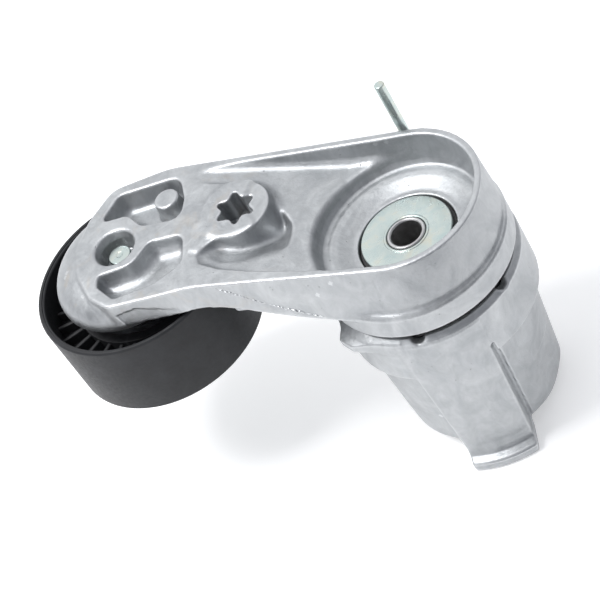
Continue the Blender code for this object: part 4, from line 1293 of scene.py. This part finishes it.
def bearing_steel(n):
    n.set("Base Color", n.ramp(n.noise(6, 3), (0.3, (0.58, 0.59, 0.61)), (0.7, (0.7, 0.71, 0.72))))
    n.set("Metallic", 1.0)
    n.set("Roughness", n.ramp(n.noise(1.5, 4), (0.3, 0.14), (0.7, 0.24)))
    n.set("Normal", n.bump(n.noise(0.3, 2), 0.01, 0.3))


def black_plastic(n):
    colour = n.ramp(n.noise(9, 4), (0.3, (0.015, 0.0155, 0.017)), (0.7, (0.024, 0.025, 0.028)))
    # Convex edges are made lighter: partly real scuffing, partly a painted highlight.
    edge_wear_and_highlight = n.ramp(n.pointiness(), (0.51, 0), (0.56, 1))
    n.set("Base Color", n.mix(n.maths("MULTIPLY", edge_wear_and_highlight, 0.4), colour, (0.07, 0.07, 0.073)))
    n.set("Specular IOR Level", 0.3)
    n.set("Roughness", n.ramp(n.noise(1.2, 5), (0.3, 0.42), (0.7, 0.55)))
    n.set("Normal", n.bump(n.noise(0.35, 4), 0.05, 0.5))


def nylon(n):
    n.set("Base Color", n.ramp(n.noise(8, 3), (0.3, (0.022, 0.022, 0.023)), (0.7, (0.035, 0.035, 0.037))))
    n.set("Roughness", n.ramp(n.noise(1, 4), (0.3, 0.45), (0.7, 0.6)))
    n.set("Normal", n.bump(n.noise(0.4, 3), 0.04, 0.4))


def seal_rubber(n):
    n.set("Base Color", n.ramp(n.noise(5, 4), (0.3, (0.014, 0.014, 0.014)), (0.7, (0.03, 0.03, 0.03))))
    n.set("Roughness", n.ramp(n.noise(1, 4), (0.3, 0.6), (0.7, 0.8)))
    n.set("Normal", n.bump(n.noise(0.5, 3), 0.06, 0.5))


LOOKS = {
    "cast_aluminium": cast_aluminium,
    "zinc_plate": zinc_plate,
    "bare_steel": bare_steel,
    "spring_steel": spring_steel,
    "bearing_steel": bearing_steel,
    "black_plastic": black_plastic,
    "nylon": nylon,
    "seal_rubber": seal_rubber,
}
materials = {}


def make_materials():
    for name, look in LOOKS.items():
        materials[name] = bpy.data.materials.new(name + "_look")
        look(Nodes(materials[name]))


# ---- Placing ----


def shade(piece, angle=30):
    piece.data.shade_smooth()
    piece.data.set_sharp_from_angle(angle=radians(angle))


def place(name, data, body, node, material, at=(0, 0), height=0.0):
    """Puts a piece in the scene in place of a CAD node, riding on its body."""
    piece = bpy.data.objects.new(name, data)
    piece.location = (at[0] * MM, at[1] * MM, height * MM)
    bpy.context.scene.collection.objects.link(piece)
    data.materials.append(materials[material])
    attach(piece, body)
    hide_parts(node)
    return piece


def dress_cad_nodes():
    """Gives the CAD nodes that stay in view, inside the bearing and the case, their materials."""
    for row in frame["record"]["subparts"]:
        piece = frame["nodes"][row["node"]]
        piece.data.materials.clear()
        piece.data.materials.append(materials[row["material_slot"]])


# ---- Floor, light and camera ----


FLOOR_SIZE = 6
FLOOR_GAP = 0.2
FLOOR_GLOW = 0.32


def floor():
    bpy.ops.mesh.primitive_plane_add(size=FLOOR_SIZE, location=(0, 0, (CASE_FOOT - FLOOR_GAP) * MM))
    plane = bpy.context.object
    plane.name = "floor"
    material = bpy.data.materials.new("floor")
    material.use_nodes = True
    shader = material.node_tree.nodes["Principled BSDF"]
    shader.inputs["Base Color"].default_value = (0.93, 0.93, 0.93, 1)
    shader.inputs["Roughness"].default_value = 0.9
    shader.inputs["Emission Color"].default_value = (1, 1, 1, 1)
    shader.inputs["Emission Strength"].default_value = FLOOR_GLOW
    plane.data.materials.append(material)


def softbox(name, azimuth, elevation, distance, size, power):
    """A square light that faces the object."""
    light = bpy.data.lights.new(name, "AREA")
    light.size = size
    light.energy = power
    lamp = bpy.data.objects.new(name, light)
    back = direction(azimuth, elevation)
    lamp.location = TARGET + back * distance
    lamp.rotation_mode = "QUATERNION"
    lamp.rotation_quaternion = (-back).to_track_quat("-Z", "Y")
    bpy.context.scene.collection.objects.link(lamp)


def direction(azimuth, elevation):
    a, e = radians(azimuth), radians(elevation)
    return Vector((sin(a) * cos(e), -cos(a) * cos(e), sin(e)))


TARGET = Vector((0.0360, 0.01735, 0.0729))
CAMERA_AZIMUTH = 215.03
CAMERA_ELEVATION = 43.57
CAMERA_ROLL = -33.34
CAMERA_DISTANCE = 0.69
CAMERA_LENS = 130.1


def camera():
    data = bpy.data.cameras.new("camera")
    data.lens = CAMERA_LENS
    data.sensor_width = 36
    data.clip_start = 0.01
    eye = bpy.data.objects.new("camera", data)
    back = direction(CAMERA_AZIMUTH, CAMERA_ELEVATION)
    eye.location = TARGET + back * CAMERA_DISTANCE
    eye.rotation_mode = "QUATERNION"
    roll = Quaternion(back, radians(CAMERA_ROLL))
    eye.rotation_quaternion = roll @ (-back).to_track_quat("-Z", "Y")
    bpy.context.scene.collection.objects.link(eye)
    bpy.context.scene.camera = eye


def lights():
    """A white room, brighter behind and above and darker behind the camera, with soft boxes."""
    world = bpy.data.worlds.new("world")
    world.use_nodes = True
    tree = world.node_tree
    where = tree.nodes.new("ShaderNodeTexCoord").outputs["Generated"]
    toward = tree.nodes.new("ShaderNodeVectorMath")
    toward.operation = "DOT_PRODUCT"
    toward.inputs[1].default_value = direction(40, 38)
    tree.links.new(where, toward.inputs[0])
    span = tree.nodes.new("ShaderNodeMapRange")
    span.inputs["From Min"].default_value = -1
    tree.links.new(toward.outputs["Value"], span.inputs["Value"])
    ramp = tree.nodes.new("ShaderNodeValToRGB")
    tree.links.new(span.outputs["Result"], ramp.inputs["Fac"])
    ramp.color_ramp.elements[0].color = (0.04, 0.045, 0.055, 1)
    ramp.color_ramp.elements[1].color = (0.92, 0.93, 0.95, 1)
    middle = ramp.color_ramp.elements.new(0.5)
    middle.color = (0.30, 0.31, 0.34, 1)
    tree.links.new(ramp.outputs["Color"], tree.nodes["Background"].inputs["Color"])
    tree.nodes["Background"].inputs["Strength"].default_value = 1.2
    bpy.context.scene.world = world
    bpy.context.scene.view_settings.view_transform = "Standard"
    softbox("overhead", 110, 66, 0.9, 0.35, 5.4)
    softbox("near_side", 160, 20, 1.0, 0.4, 1.2)


def main():
    make_materials()
    dress_cad_nodes()
    arm = build_arm()
    place("arm_casting", arm.mesh("arm_casting"), "arm", "tensioner_arm", "cast_aluminium")
    case = build_case()
    place("case_casting", case.mesh("case_casting"), "base", "spring_case", "cast_aluminium")
    flash_line(arm)
    hub_sleeve_piece()
    thrust_plate()
    pivot_tube()
    locking_pin()
    pulley_bolt()
    dust_cap()
    pulley()
    floor()
    lights()
    camera()


main()
